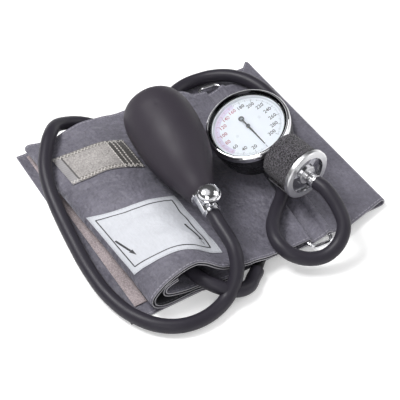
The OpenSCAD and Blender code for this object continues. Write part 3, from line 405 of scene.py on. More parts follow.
def glass_material(name):
    """Clear crystal with a trace of smears."""
    material, t, bsdf, where = start_material(
        name, Base_Color=(0.97, 0.99, 1.0), IOR=1.45, Transmission_Weight=1.0
    )
    dress(t, bsdf, Roughness=t.speckle(where, 70, 0.0, 0.03, 1.3))
    # Lamps light the dial through the crystal
    clear = t.add("ShaderNodeBsdfTransparent")
    through = t.add("ShaderNodeMixShader")
    t.join(t.times(t.add("ShaderNodeLightPath").outputs["Is Shadow Ray"], 0.2), through.inputs[0])
    t.join(bsdf.outputs[0], through.inputs[1])
    t.join(clear.outputs[0], through.inputs[2])
    t.join(through.outputs[0], material.node_tree.nodes["Material Output"].inputs["Surface"])
    return material


def inside_axis(t, where, centre, further, radius):
    """1 where a point is nearer than a radius to the axis through two points, all in millimetres."""
    from_centre = t.vector("SUBTRACT", where, centre * MM)["Vector"]
    across = t.vector("CROSS_PRODUCT", from_centre, further - centre)["Vector"]
    return t.below(t.vector("LENGTH", across)["Value"], radius * MM)


def inside_gauge(t, where, radius):
    return inside_axis(t, where, gauge_pt((0, 0, 0)), gauge_pt((0, 0, 1)), radius)


# Radii in mm: the flange's recess, darkened as painted shade, and its hub, the bezel's inner edge, painted dark as
# shade, the dial's white wall
RECESS_R, HUB_R, SHADED_LIP_R, WHITE_WALL_R = 11.9, 5.6, 24.1, 22.2


def flange_material(name):
    """Satin chrome rim and hub, with a smoother recess between them whose colour is darkened as painted shade."""
    material, t, bsdf, where = start_material(name, Metallic=1.0)
    stem = gauge_pt((0, 0, STEM_Z)), gauge_pt((0, -1, STEM_Z))
    outer, hub = (inside_axis(t, where, *stem, radius) for radius in (RECESS_R, HUB_R))
    recess = t.minus(outer, hub)
    # Painted shade: the recess's colour is darkened to stand for the shadow and dark reflections inside it
    dress(t, bsdf, Base_Color=t.mix(recess, (0.9, 0.9, 0.91), (0.4, 0.4, 0.42)))
    grain = t.speckle(where, 500, 0.3, 0.38, 1.4)
    dress(t, bsdf, Roughness=t.minus(grain, t.times(recess, 0.16)))
    return material


def bezel_material(name):
    """Polished chrome whose lip is coloured near black on its inner edge, as painted shade for the shadow ring
    between the chrome and the dial.
    """
    material, t, bsdf, where = start_material(name, Metallic=1.0)
    lip = inside_gauge(t, where, SHADED_LIP_R)
    # Painted shade: the lip's inner edge is coloured near black to stand for the shadow inside the bezel
    dress(t, bsdf, Base_Color=t.mix(lip, (0.8, 0.8, 0.82), (0.02, 0.02, 0.022)))
    dress(t, bsdf, Roughness=t.speckle(where, 500, 0.07, 0.1, 1.4))
    return material


def dial_wall_material(name):
    """Black ring under the crystal with a white inner wall."""
    material, t, bsdf, where = start_material(name, Specular_IOR_Level=0.3)
    tone = t.speckle(where, 120, 0.9, 1.0, 1)
    white = t.shaded((0.86, 0.88, 0.92), tone)
    wall = inside_gauge(t, where, WHITE_WALL_R)
    dress(t, bsdf, Base_Color=t.mix(wall, (0.012, 0.012, 0.014), white))
    dress(t, bsdf, Roughness=t.speckle(where, 300, 0.4, 0.5, 1))
    return material


def dial_material(name):
    """White enamelled dial."""
    material, t, bsdf, where = start_material(name, Specular_IOR_Level=0.4)
    patches = t.speckle(where, 120, 0.97, 1.0, 1)
    dress(t, bsdf, Base_Color=t.shaded((0.9, 0.92, 0.97), patches))
    dress(t, bsdf, Roughness=t.speckle(where, 300, 0.35, 0.5, 1))
    return material


def floor_material():
    """Pale table that glows a little where it is seen, so that it runs into the background."""
    material, t, bsdf, where = start_material("floor", Roughness=0.9, Specular_IOR_Level=0.1)
    tone = t.speckle(where, 3, 0.84, 0.86, 1)
    dress(t, bsdf, Base_Color=t.shaded((1.0, 1.0, 1.0), tone))
    glow = t.add("ShaderNodeEmission", in_Color=(1, 1, 1, 1), in_Strength=0.28)
    seen = t.add("ShaderNodeLightPath")
    rays = t.math("MAXIMUM", seen.outputs["Is Camera Ray"], t.times(seen.outputs["Is Glossy Ray"], 0.5))
    dim = t.add("ShaderNodeMixShader")
    t.join(rays, dim.inputs[0])
    t.join(glow.outputs[0], dim.inputs[2])
    both = t.add("ShaderNodeAddShader")
    t.join(bsdf.outputs[0], both.inputs[0])
    t.join(dim.outputs[0], both.inputs[1])
    t.join(both.outputs[0], material.node_tree.nodes["Material Output"].inputs["Surface"])
    return material


# Polished metal sees a large overhead light that leans this way, dark above the far side, and a
# pale table: each band is a place between opposite the light and straight into it, and a level
OVERHEAD = (-0.25, 0.3, 0.92)
SKY_BANDS = ((0.0, 0.8), (0.16, 0.9), (0.28, 0.2), (0.45, 0.08), (0.83, 0.14), (0.9, 0.95), (0.95, 1.0), (1.0, 0.9))
AMBIENT = 0.47
# Name, place in metres, size and power
LAMPS = (
    ("key", (-0.42, 0.42, 1.05), 0.5, 11.5), ("side", (-0.75, -0.65, 0.75), 0.6, 3.2),
    ("fill", (0.9, -0.4, 0.8), 0.8, 3.0),
)


def light_the_scene():
    world = bpy.data.worlds.new("studio")
    bpy.context.scene.world = world
    world.use_nodes = True
    t = Tree(world.node_tree)
    background = world.node_tree.nodes["Background"]
    lean = t.vector("DOT_PRODUCT", t.add("ShaderNodeTexCoord").outputs["Generated"], OVERHEAD)["Value"]
    ramp = t.add("ShaderNodeValToRGB")
    stops = ramp.color_ramp.elements
    added = [stops.new(place) for place, _ in SKY_BANDS[2:]]
    for (place, level), stop in zip(SKY_BANDS, [stops[0], stops[1], *added]):
        stop.position, stop.color = place, (level, level, level * 1.02, 1)
    t.join(lean, ramp.inputs[0])
    seen = t.add("ShaderNodeLightPath")
    t.join(t.mix(seen.outputs["Is Glossy Ray"], (1.0, 1.0, 1.0), ramp.outputs[0]), background.inputs["Color"])
    plain = t.math("MAXIMUM", seen.outputs["Is Camera Ray"], seen.outputs["Is Transmission Ray"])
    shown = t.math("MAXIMUM", plain, t.times(seen.outputs["Is Glossy Ray"], 0.8))
    t.join(t.plus(AMBIENT, t.times(shown, 1 - AMBIENT)), background.inputs["Strength"])
    for name, at, size, power in LAMPS:
        lamp = bpy.data.lights.new(name, "AREA")
        lamp.energy, lamp.size = power, size
        holder = bpy.data.objects.new(name, lamp)
        holder.location = at
        holder.rotation_mode = "QUATERNION"
        holder.rotation_quaternion = (LOOK_AT - holder.location).to_track_quat("-Z", "Y")
        bpy.context.scene.collection.objects.link(holder)


FLOOR_HALF, FLOOR_DROP = 6, 0.00005


def lay_floor(material):
    mesh = bpy.data.meshes.new("floor")
    corners = [(x * FLOOR_HALF, y * FLOOR_HALF, -FLOOR_DROP) for x, y in ((-1, -1), (1, -1), (1, 1), (-1, 1))]
    mesh.from_pydata(corners, [], [(0, 1, 2, 3)])
    floor = bpy.data.objects.new("floor", mesh)
    floor.data.materials.append(material)
    bpy.context.scene.collection.objects.link(floor)


# ---- Mesh makers ----
def make_piece(name, points, faces, material, body="cuff_set", slot=None, replaces=(), sharp=40):
    """A piece of metre points, on a body, with the CAD nodes that it replaces. The slot argument is not used."""
    mesh = bpy.data.meshes.new(name)
    mesh.from_pydata([tuple(p) for p in points], [], [tuple(int(i) for i in f) for f in faces])
    mesh.validate()
    piece = bpy.data.objects.new(name, mesh)
    bpy.context.scene.collection.objects.link(piece)
    for m in material if isinstance(material, list) else [material]:
        mesh.materials.append(m)
    mesh.shade_smooth()
    mesh.set_sharp_from_angle(angle=math.radians(sharp))
    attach(piece, body)
    if replaces:
        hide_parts(*replaces)
    return piece


def face_row(a, b, sides, order=(0, 1, 2, 3)):
    """Quads between two rings of vertices that start at a and b."""
    rows = []
    for k in range(sides):
        j = (k + 1) % sides
        corners = (a + k, b + k, b + j, a + j)
        rows.append(tuple(corners[i] for i in order))
    return rows


def smooth_curve(points, steps):
    """Centripetal Catmull-Rom curve through points, with steps between each two."""
    p = [np.array(q, float) for q in points]
    p = [2 * p[0] - p[1], *p, 2 * p[-1] - p[-2]]
    out = []
    for a, b, c, d in zip(p, p[1:], p[2:], p[3:]):
        t0 = 0.0
        t1 = t0 + np.linalg.norm(b - a) ** 0.5
        t2 = t1 + np.linalg.norm(c - b) ** 0.5
        t3 = t2 + np.linalg.norm(d - c) ** 0.5
        for k in range(steps):
            t = t1 + (t2 - t1) * k / steps
            ab = (t1 - t) / (t1 - t0) * a + (t - t0) / (t1 - t0) * b
            bc = (t2 - t) / (t2 - t1) * b + (t - t1) / (t2 - t1) * c
            cd = (t3 - t) / (t3 - t2) * c + (t - t2) / (t3 - t2) * d
            abc = (t2 - t) / (t2 - t0) * ab + (t - t0) / (t2 - t0) * bc
            bcd = (t3 - t) / (t3 - t1) * bc + (t - t1) / (t3 - t1) * cd
            out.append((t2 - t) / (t2 - t1) * abc + (t - t1) / (t2 - t1) * bcd)
    return np.array([*out, p[-2]])


# Radius of a tube end's rounded lip and of its bore, as shares of the tube's radius
LIP_SHARE, BORE_SHARE = 0.93, 0.52
TUBE_SIDES = 28


def tube_piece(name, route, diameter, material, slot, node):
    """A rubber tube along a route in millimetres, with rounded ends. Returns it and its line."""
    line = smooth_curve(route, 8)
    along = np.gradient(line, axis=0)
    along /= np.linalg.norm(along, axis=1)[:, None]
    side = np.cross(along, (0, 0, 1.0))
    side /= np.linalg.norm(side, axis=1)[:, None]
    up = np.cross(side, along)
    angle = np.arange(TUBE_SIDES) * 2 * math.pi / TUBE_SIDES
    ring = np.cos(angle)[:, None, None] * side + np.sin(angle)[:, None, None] * up
    rings = [line + ring[k] * diameter / 2 for k in range(TUBE_SIDES)]
    points = np.stack(rings, axis=1)
    # The cut ends are rounded over a little and closed by a bored face
    lips, bores = ([line[i] + (points[i] - line[i]) * share for i in (0, -1)] for share in (LIP_SHARE, BORE_SHARE))
    verts = np.concatenate([points.reshape(-1, 3), *lips, *bores]) * MM
    faces = []
    for r in range(len(line) - 1):
        faces += face_row(r * TUBE_SIDES, (r + 1) * TUBE_SIDES, TUBE_SIDES)
    base = len(line) * TUBE_SIDES
    for end, order in ((0, (0, 3, 2, 1)), (1, (1, 2, 3, 0))):
        ring_at = end * (base - TUBE_SIDES)
        lip_at, bore_at = base + end * TUBE_SIDES, base + (end + 2) * TUBE_SIDES
        faces += face_row(ring_at, lip_at, TUBE_SIDES, order) + face_row(lip_at, bore_at, TUBE_SIDES, order)
        cap = tuple(range(bore_at, bore_at + TUBE_SIDES))
        faces.append(cap[::-1] if end else cap)
    piece = make_piece(name, verts, faces, material, slot=slot, replaces=[node])
    return piece, line * MM


def cloth_piece(name, grid, thick, cut, material, slot, replaces):
    """A sheet of cloth with two faces and a rim. grid is rows of points in mm, thick one
    thickness or one for each point, and cut each point's place along and across the cut in mm."""
    grid = np.asarray(grid, float)
    rows, columns, _ = grid.shape
    normal = np.cross(np.gradient(grid, axis=1), np.gradient(grid, axis=0))
    normal /= np.linalg.norm(normal, axis=2)[:, :, None]
    half = np.broadcast_to(np.asarray(thick, float) / 2, (rows, columns))[:, :, None] * normal
    points = np.concatenate([(grid + half).reshape(-1, 3), (grid - half).reshape(-1, 3)])
    count = rows * columns
    place = np.concatenate([np.asarray(cut, float).reshape(-1, 2)] * 2) * MM
    faces, rim = [], []

    def at(r, c, low=False):
        return r * columns + c + (count if low else 0)

    for r in range(rows - 1):
        for c in range(columns - 1):
            top = (at(r, c), at(r, c + 1), at(r + 1, c + 1), at(r + 1, c))
            bottom = tuple(i + count for i in reversed(top))
            faces += [top, bottom]
    edge = [(0, c) for c in range(columns)] + [(r, columns - 1) for r in range(1, rows)]
    edge += [(rows - 1, c) for c in range(columns - 2, -1, -1)] + [(r, 0) for r in range(rows - 2, 0, -1)]
    for a, b in zip(edge, edge[1:] + edge[:1]):
        rim.append((at(*a), at(*a, True), at(*b, True), at(*b)))
    # Faces look outward whichever way the grid runs
    first = points[faces[0][1]] - points[faces[0][0]]
    second = points[faces[0][3]] - points[faces[0][0]]
    if np.dot(np.cross(first, second), normal[0, 0]) < 0:
        faces = [f[::-1] for f in faces]
        rim = [f[::-1] for f in rim]
    piece = make_piece(name, points * MM, faces + rim, material, slot=slot, replaces=replaces, sharp=50)
    layer = piece.data.uv_layers.new(name="cut")
    loops = np.empty(len(piece.data.loops), np.int64)
    piece.data.loops.foreach_get("vertex_index", loops)
    layer.data.foreach_set("uv", place[loops].astype(np.float32).ravel())
    if len(piece.data.materials) > 1:
        for polygon in piece.data.polygons[len(faces):]:
            polygon.material_index = 1
    return piece


def hem_places(length, hem, step, fine=0.5):
    """Places across a piece, close together at both edges and at its hem lines."""
    ends = [0, fine, hem - fine, hem, hem + fine]
    count = max(2, round((length - 2 * hem - 2 * fine) / step))
    middle = [hem + fine + (length - 2 * hem - 2 * fine) * k / count for k in range(1, count)]
    return np.array(ends + middle + [length - e for e in reversed(ends)])


# ---- The wrap: the same lines as the CAD part, in millimetres ----
CUFF_W = 150.0
HALF_W = CUFF_W / 2
CLOTH_T, BLADDER_T, TAIL_T, GAP = 0.7, 0.8, 1.2, 0.1
SANDWICH_T = 2 * CLOTH_T + 2 * GAP + BLADDER_T
PANEL_SHIFT = (BLADDER_T + CLOTH_T) / 2 + GAP
BASE = TAIL_T + 2 * GAP + SANDWICH_T / 2
BACK = BASE + SANDWICH_T + 1.1
TURN = (BASE + BACK) / 2
RING_TURN = math.radians(-7.7)
RING_AT = np.array([31.8, -7.0])
RING_Z, RING_PITCH, RING_WIRE = 5.0, 14.5, 2.6
SLEEVE_L, SLEEVE_R = 9.0, RING_WIRE / 2 + 0.2 + CLOTH_T / 2


def ring_x(y):
    return RING_AT[0] - (y - RING_AT[1]) * math.tan(RING_TURN)


NEAR_LINE = np.array([
    [ring_x(-HALF_W) - SLEEVE_L, 6.4], [6, 7.4], [-6, 8.8], [-14, 10.8], [-22, 12.4], [-36, 16.6], [-46, 23.6],
    [-54, 25.6], [-64, 24], [-73, 19.5], [-79, 13], [-78, 6.8], [-71, BASE + 0.4],
    [-58, BASE], [-30, BASE], [-26, TURN], [-30, BACK], [-52, BACK],
    [-64, 8.8], [-71, 12.5], [-70.5, 17.5], [-63, 20],
])
FAR_LINE = np.array([
    [ring_x(HALF_W) - SLEEVE_L, 8], [27, 12.8], [13, 13.2], [-4, 11.6], [-18, 12.6], [-30, 15.4], [-42, 17.6],
    [-52, 16.6], [-62, 13.8], [-72, 11.4], [-78, 9], [-77, 5.6], [-70, BASE + 0.4],
    [-62, BASE], [-47, BASE], [-43.4, TURN], [-47, BACK], [-56, BACK],
    [-61, 6.8], [-65, 7.4], [-67, 8.6], [-64, 9.6],
])
SAG = np.array([1.4, 5.6, 6.4, 4.6, 2.8] + [0] * (len(NEAR_LINE) - 5))
LAST = len(NEAR_LINE) - 1
NEAR_DRIFT = ([-90, -50, -36, -22, 60], [3, 3, -1.5, -3, -3.5])
FAR_DRIFT = ([-90, -77, -68, -60, 10, 34, 60], [4, 3.5, -3, -4.5, -4.5, -11.5, -11.5])


def line_at(points, u):
    """Point at place u of the smooth line through points."""
    i = int(min(max(math.floor(u), 0), len(points) - 2))
    f = u - i
    a, b, c, d = points[max(i - 1, 0)], points[i], points[i + 1], points[min(i + 2, len(points) - 1)]
    return 0.5 * (2 * b + (c - a) * f + (2 * a - 5 * b + 4 * c - d) * f * f + (3 * b - a - 3 * c + d) * f ** 3)


def middle_line(f):
    """The wrap's middle line at a share of the cuff's width, in X and Z."""
    line = NEAR_LINE * (1 - f) + FAR_LINE * f
    line[:, 1] -= SAG * (1 - (2 * f - 1) ** 2)
    return line


def wrap_y(f, x):
    """Y of a share of the width, where the cuff's long edges drift in and out along X."""
    near = -HALF_W + np.interp(x, *NEAR_DRIFT)
    far = HALF_W + np.interp(x, *FAR_DRIFT)
    return near + (far - near) * f


def wrap_share(x, y):
    near, far = wrap_y(0, x), wrap_y(1, x)
    return (y - near) / (far - near)


def beside(line, distance):
    """A line in the XZ plane moved sideways, outward for a positive distance."""
    along = np.gradient(line, axis=0)
    along /= np.linalg.norm(along, axis=1)[:, None]
    return line + distance * np.stack([along[:, 1], -along[:, 0]], axis=1)


# Soft creases pressed into the wrap's top: two ends in XY, half width and height in mm
WRAP_CREASES = [
    ((-20, -62), (-66, -40), 5.0, 0.9), ((-24, -30), (-70, -14), 6.0, -0.8), ((-30, 8), (-72, 2), 4.5, 0.7),
    ((-26, 60), (-70, 52), 5.5, 0.8), ((4, -66), (-14, -36), 5.0, 0.6), ((14, 40), (-6, 62), 5.0, -0.7),
    ((20, -60), (24, -20), 4.0, -0.5),
]
# Shallow creases of the strap's top layer
STRAP_CREASES = [((52, -64), (74, -20), 3.5, 0.35), ((60, 10), (76, 52), 4.5, 0.3), ((48, 30), (56, 66), 4, -0.25)]


def crease_height(creases, x, y):
    """Height of the creases at a point, each fading out to its sides and towards its ends."""
    height = 0.0
    for a, b, width, high in creases:
        a, run = np.array(a, float), np.subtract(b, a).astype(float)
        t = float(np.dot((x, y) - a, run) / np.dot(run, run))
        if 0 < t < 1:
            off = np.linalg.norm((x, y) - a - run * t)
            height += high * (1 - abs(2 * t - 1) ** 3) * math.exp(-((off / width) ** 2))
    return height


def ruffle(p, top):
    """How far the cloth stands off its plain line at a point, in mm."""
    v = Vector(p)
    out = 0.8 * noise.noise(v / 34) + 0.42 * noise.noise(v / 13) + 0.16 * noise.noise(v / 5)
    return out + top * crease_height(WRAP_CREASES, p[0], p[1]) if top > 0 else out


# Places along the wrap's line where its outer face turns under, and where its creases are gone
TURN_U, UNDER_U = 9, 10


def wrap_layer(u_places, f_places, shift, sleeve):
    """Grid of one layer of the wrap, shifted off the middle line, with its cut's places."""
    grid = []
    for f in f_places:
        line = middle_line(f)
        middle = np.array([line_at(line, u) for u in u_places])
        path = beside(middle, shift)
        lift = []
        for k, u in enumerate(u_places):
            y = wrap_y(f, middle[k, 0])
            top = 1.0 if u < TURN_U else max(0.0, 1 - (u - TURN_U) / 1.5)
            fade = min(1.0, u / 1.5) if u < UNDER_U else max(0.25, 1 - (u - UNDER_U) / 3)
            lift.append(fade * ruffle((middle[k, 0], y, middle[k, 1]), top))
        path = path + (beside(middle, 1.0) - middle) * np.array(lift)[:, None]
        if sleeve:
            centre = np.array([ring_x(-HALF_W + CUFF_W * f), RING_Z])
            low = [centre + (-SLEEVE_L * s, -SLEEVE_R) for s in (1, 0.75, 0.5, 0.25)]
            turns = np.linspace(-math.pi / 2, math.pi / 2, 13)
            bend = [centre + SLEEVE_R * np.array([math.cos(a), math.sin(a)]) for a in turns]
            path = np.concatenate([low, bend, path])
        y = [wrap_y(f, x) for x in path[:, 0]]
        grid.append(np.stack([path[:, 0], y, path[:, 1]], axis=1))
    grid = np.array(grid)
    steps = np.linalg.norm(np.diff(grid, axis=1), axis=2).mean(axis=0)
    along = np.concatenate([[0], np.cumsum(steps)])
    cut = np.stack(np.meshgrid(along, np.array(f_places) * CUFF_W), axis=2)
    return grid, cut


HEM = 6.0
HEM_EXTRA = 0.22


def hem_thickness(cut, base, length):
    """Cloth thickness, thicker where the hem is turned in along both long edges."""
    across, along = cut[:, :, 1], cut[:, :, 0]
    edge = np.minimum(np.minimum(across, CUFF_W - across), np.minimum(along + HEM, length - along))
    thick = base + HEM_EXTRA * (edge < HEM - 0.1)
    rounded = np.clip(edge / 0.5, 0.7, 1)
    return thick * rounded


def make_wrap(mats):
    """Outer cloth, lining and the air bladder between them."""
    f_places = hem_places(CUFF_W, HEM, 2.6) / CUFF_W
    u_places = np.concatenate([np.arange(0, TURN_U, 0.1), np.arange(TURN_U, LAST + 0.01, 0.125)])
    for name, node, shift, material, slot in (
        ("cuff_outer_cloth", "outer_panel", PANEL_SHIFT, "cuff", "cuff_cloth"),
        ("cuff_lining_cloth", "lining_panel", -PANEL_SHIFT, "lining", "lining_cloth"),
    ):
        grid, cut = wrap_layer(u_places, f_places, shift, node == "outer_panel")
        length = cut[:, :, 0].max()
        piece = cloth_piece(
            name, grid, hem_thickness(cut, CLOTH_T, length), cut, [mats[material], mats["edge"]], slot, [node],
        )
    fill = [f for f in f_places if 0.08 <= f <= 0.92]
    inner = u_places[(u_places >= 1) & (u_places <= LAST - 7)]
    grid, cut = wrap_layer(inner, fill, 0.0, False)
    bag = cloth_piece("air_bladder", grid, BLADDER_T, cut, mats["bladder"], "bladder_rubber", ["bladder"])
    width, length = cut[:, :, 1].max() - fill[0] * CUFF_W, cut[:, :, 0].max()


def on_wrap(u, y, lift):
    """Point on the wrap's outer face at place u and position y, lifted off it."""
    line = middle_line((y + HALF_W) / CUFF_W)
    f = wrap_share(line_at(line, u)[0], y)
    line = middle_line(f)
    before, here, after = (line_at(line, u + d) for d in (-0.02, 0, 0.02))
    along = (after - before) / np.linalg.norm(after - before)
    stand = PANEL_SHIFT + lift + min(1.0, u / 1.5) * ruffle((here[0], y, here[1]), 1.0)
    spot = here + stand * np.array([along[1], -along[0]])
    return np.array([spot[0], y, spot[1]])


class Patch:
    """A patch sewn on the wrap's outer face, between two places and two shares of the width."""

    def __init__(self, u0, u1, v0, v1, shifts, thick, pull):
        self.u, self.v, self.shifts, self.thick, self.pull = (u0, u1), (v0, v1), shifts, thick, pull
        middle = [self.point(s, 0.5, 0) for s in np.linspace(0, 1, 40)]
        self.length = float(np.linalg.norm(np.diff(middle, axis=0), axis=1).sum())
        self.width = (v1 - v0) * CUFF_W
        self.base = CLOTH_T / 2 + HEM_EXTRA / 2 + thick / 2

    def point(self, s, w, lift):
        """Point at share s of the length and w of the width."""
        u = self.u[0] + (self.u[1] - self.u[0]) * s
        v = self.v[0] + (self.v[1] - self.v[0]) * w
        y = -HALF_W + CUFF_W * v + self.shifts[0] + (self.shifts[1] - self.shifts[0]) * s
        y += self.pull * w * (1 - (2 * s - 1) ** 2)
        return on_wrap(u, y, lift)

    def inset(self, s, w):
        """Distance from the patch's nearest edge."""
        return min(s, self.length - s, w, self.width - w)

    def sheet(self, lengths, widths, extra):
        """Grid of the patch, lifted by a function of its own places, and its cut's places."""
        def spot(s, w):
            return self.point(s / self.length, w / self.width, self.base + extra(s, w))

        grid = np.array([[spot(s, w) for s in lengths] for w in widths])
        return grid, np.stack(np.meshgrid(lengths, widths), axis=2)


HOOK_W, LABEL_W = 28.0, 54.0
SELVEDGE_W, SELVEDGE_T = 3.1, 0.7


def make_patches(mats):
    """Hook patch and satin label on the roll."""
    hook = Patch(4.9, 9, 0.655, 0.655 + HOOK_W / CUFF_W, (-7, 5), 1.0, -2)
    lengths = hem_places(hook.length, 3.2, 1.6, 0.35)
    widths = hem_places(hook.width, 3.2, 1.6, 0.35)

    def hook_bow(s, w):
        return 0.12 * min(1, hook.inset(s, w) / 3) + 0.15 * noise.noise(Vector((s / 9, w / 9, 3)))

    grid, cut = hook.sheet(lengths, widths, hook_bow)
    inset = np.array([[hook.inset(s, w) for s in lengths] for w in widths])
    thick = np.where(inset < SELVEDGE_W, SELVEDGE_T, 1.0) * np.clip(inset / 0.35, 0.4, 1)
    both = [mats["hook"](hook), mats["edge"]]
    piece = cloth_piece("hook_tape_patch", grid, thick, cut, both, "hook_tape", ["hook_patch"])

    label = Patch(4.6, 9.8, 0.125, 0.125 + LABEL_W / CUFF_W, (-9.5, 5), 0.3, -7)
    lengths = hem_places(label.length, 1.6, 1.6, 0.3)
    widths = hem_places(label.width, 1.6, 1.6, 0.3)

    def label_bow(s, w):
        return 0.05 + min(1, label.inset(s, w) / 4) * (0.26 + 0.42 * noise.noise(Vector((s / 12, w / 8, 7))))

    grid, cut = label.sheet(lengths, widths, label_bow)
    piece = cloth_piece("satin_label", grid, label.thick, cut, mats["satin"](label), "label_satin", ["label"])
    make_label_marks(label, label_bow, mats["ink"])


PRINT_LIFT = 0.03


def make_label_marks(label, bow, ink):
    """The printed frame line and the two plain pointing arrows."""
    points, faces = [], []

    def spot(s, t):
        lift = label.base + bow(s, t) + label.thick / 2 + PRINT_LIFT
        return label.point(s / label.length, t / label.width, lift) * MM

    def stroke(a, b, width, head=0.0):
        a, b = np.array(a, float), np.array(b, float)
        run = b - a
        length = np.linalg.norm(run)
        run /= length
        side = np.array([-run[1], run[0]])
        steps = max(2, int(length / 1.5))
        stations = [(length * k / steps, width) for k in range(steps + 1)]
        if head:
            stations = [s for s in stations if s[0] < length - head]
            stations += [(length - head, width), (length - head + 0.01, width * 2), (length, 0.05)]
        start = len(points)
        for d, w in stations:
            for sign in (-1, 1):
                points.append(spot(*(a + run * d + side * sign * w / 2)))
        for k in range(len(stations) - 1):
            i = start + 2 * k
            faces.append((i, i + 1, i + 3, i + 2))

    lx, wy, inset = label.length, label.width, 4.2
    corners = [(inset, inset), (lx - inset, inset), (lx - inset, wy - inset), (inset, wy - inset)]
    for a, b in zip(corners, corners[1:] + corners[:1]):
        stroke(a, b, 0.8)
    for (s0, w0), (s1, w1) in (((0.905, 0.53), (0.822, 0.21)), ((0.14, 0.5), (0.118, 0.115))):
        stroke((lx * s0, wy * w0), (lx * s1, wy * w1), 1.5, head=5)
    return make_piece("label_marks", points, faces, ink, slot="label_satin")


# ---- Tail strap ----
FOLD_R = 1.6
HALF_L = 84.0
FOLD_X = HALF_L - FOLD_R - TAIL_T
FOLD_TURN = math.radians(-1.6)
TAIL_TOP = 2 * FOLD_R + TAIL_T
LAND_U = RING_PITCH + 12
THREAD_W = 143.4
# The strap's flat part under the roll, its fold, the mean width beyond it and where its top layer starts
FLAT_L, FOLD_L, THREADED_W, STRAP_TOP_X = 165, 7, 148, 44


def turned(u, v, angle):
    """A flat point turned about the origin."""
    c, s = math.cos(angle), math.sin(angle)
    return np.array([u * c - v * s, u * s + v * c])


def fold_pt(u, v):
    return turned(u, v, FOLD_TURN) + (FOLD_X, 0)


def ring_pt(u, v):
    return turned(u, v, RING_TURN) + RING_AT


def strap_rows():
    """Near and far ends of the strap's rows in XYZ, from the left border to its end under the ring."""
    near0, far0 = np.array([-9.5 - HALF_L, -HALF_W + 4]), np.array([-HALF_L, HALF_W + 7])
    n0, f0 = fold_pt(0, -HALF_W), fold_pt(0, HALF_W)
    rows = []

    def add(near, far, z):
        rows.append((np.array([*near, z]), np.array([*far, z])))

    for t in hem_places(FLAT_L, HEM, 3.2) / FLAT_L:
        add(near0 + (n0 - near0) * t, far0 + (f0 - far0) * t, TAIL_T / 2)
    r = FOLD_R + TAIL_T / 2
    for a in np.linspace(-90, 90, 17)[1:-1]:
        u, z = r * math.cos(math.radians(a)), TAIL_T + FOLD_R + r * math.sin(math.radians(a))
        add(fold_pt(u, -HALF_W), fold_pt(u, HALF_W), z)
    top_z = TAIL_TOP + TAIL_T / 2
    n1, f1 = ring_pt(LAND_U, -THREAD_W / 2), ring_pt(LAND_U, THREAD_W / 2)
    for t in np.linspace(0, 1, 18):
        add(n0 + (n1 - n0) * t, f0 + (f1 - f0) * t, top_z)
    over = RING_WIRE / 2 + 0.2 + TAIL_T / 2 + 0.1
    thread_z = TAIL_T + GAP + TAIL_T / 2
    path = [(LAND_U - 2, top_z), (LAND_U - 4, top_z + 0.02)]
    for a in np.radians(np.arange(15, 166, 10)):
        path.append((RING_PITCH + over * math.cos(a), RING_Z + over * math.sin(a)))
    path += [(u, thread_z) for u in (SLEEVE_R + 1, SLEEVE_R / 2, 0, -SLEEVE_L / 2, -SLEEVE_L)]
    line = [np.array(p) for p in path]
    smooth = line[:2] + [line_at(line, u) for u in np.arange(2, len(line) - 1 + 0.01, 0.5)]
    for u, z in smooth:
        add(ring_pt(u, -THREAD_W / 2), ring_pt(u, THREAD_W / 2), z)
    return rows


# The left border thins out to a single layer, this thick, that slips under the tube
BORDER_T = 0.35


def make_strap(mats):
    rows = strap_rows()
    w_places = hem_places(CUFF_W, HEM, 3.0) / CUFF_W
    grid = np.array([[near + (far - near) * w for near, far in rows] for w in w_places])
    steps = np.linalg.norm(np.diff(grid, axis=1), axis=2).mean(axis=0)
    along = np.concatenate([[0], np.cumsum(steps)])
    cut = np.stack(np.meshgrid(along, w_places * CUFF_W), axis=2)
    for r in range(grid.shape[0]):
        for c in range(grid.shape[1]):
            x, y, z = grid[r, c]
            swell = 0.5 + 0.5 * noise.noise(Vector((x / 26, y / 26, z)))
            if z < TAIL_T and x < FOLD_X - 2:
                grid[r, c, 2] += 0.12 * swell
            elif z > TAIL_TOP and x > STRAP_TOP_X:
                grid[r, c, 2] += 0.45 * swell * min(1, max(0, (FOLD_X - x) / 8)) + crease_height(STRAP_CREASES, x, y)
    edge = np.minimum(cut[:, :, 1], CUFF_W - cut[:, :, 1])
    thick = (TAIL_T - 0.25 + 0.25 * (edge < HEM - 0.1)) * np.clip(edge / 0.5, 0.6, 1)
    thin = np.clip((-HALF_L - 1.5 - grid[:, :, 0]) / 2, 0, 1)
    thick = thick * (1 - thin) + BORDER_T * thin
    grid[:, :, 2] = grid[:, :, 2] * (1 - thin) + 0.2 * thin
    piece = cloth_piece("tail_strap", grid, thick, cut, [mats["strap"], mats["edge"]], "cuff_cloth", ["cuff_tail"])


LOOP_W, LOOP_T = 8.0, 0.6


def make_loop_strip(mats):
    """Loop tape on the strap's left border, narrower than a declared sheet may be."""
    near0, far0 = np.array([-1.8 - HALF_L, -HALF_W + 13.0]), np.array([-HALF_L + 5.2, HALF_W + 3.0])
    run = far0 - near0
    length = float(np.linalg.norm(run))
    lengths, widths = hem_places(length, 1.2, 1.5, 0.3), hem_places(LOOP_W, 0.8, 0.5, 0.2)
    grid = np.empty((len(widths), len(lengths), 3))
    for r, w in enumerate(widths):
        for c, s in enumerate(lengths):
            x, y = near0 + run * s / length
            bow = 0.1 * (0.5 + 0.5 * noise.noise(Vector((s / 6, w / 3, 0))))
            grid[r, c] = (x + w, y, TAIL_T + 0.12 + LOOP_T / 2 + bow)
    cut = np.stack(np.meshgrid(lengths, widths), axis=2)
    edge = np.minimum(cut[:, :, 1], LOOP_W - cut[:, :, 1])
    thick = LOOP_T * np.clip(edge / 0.6, 0.4, 1)
    cloth_piece("loop_tape_strip", grid, thick, cut, mats["loop"], "loop_tape", ["loop_strip"])


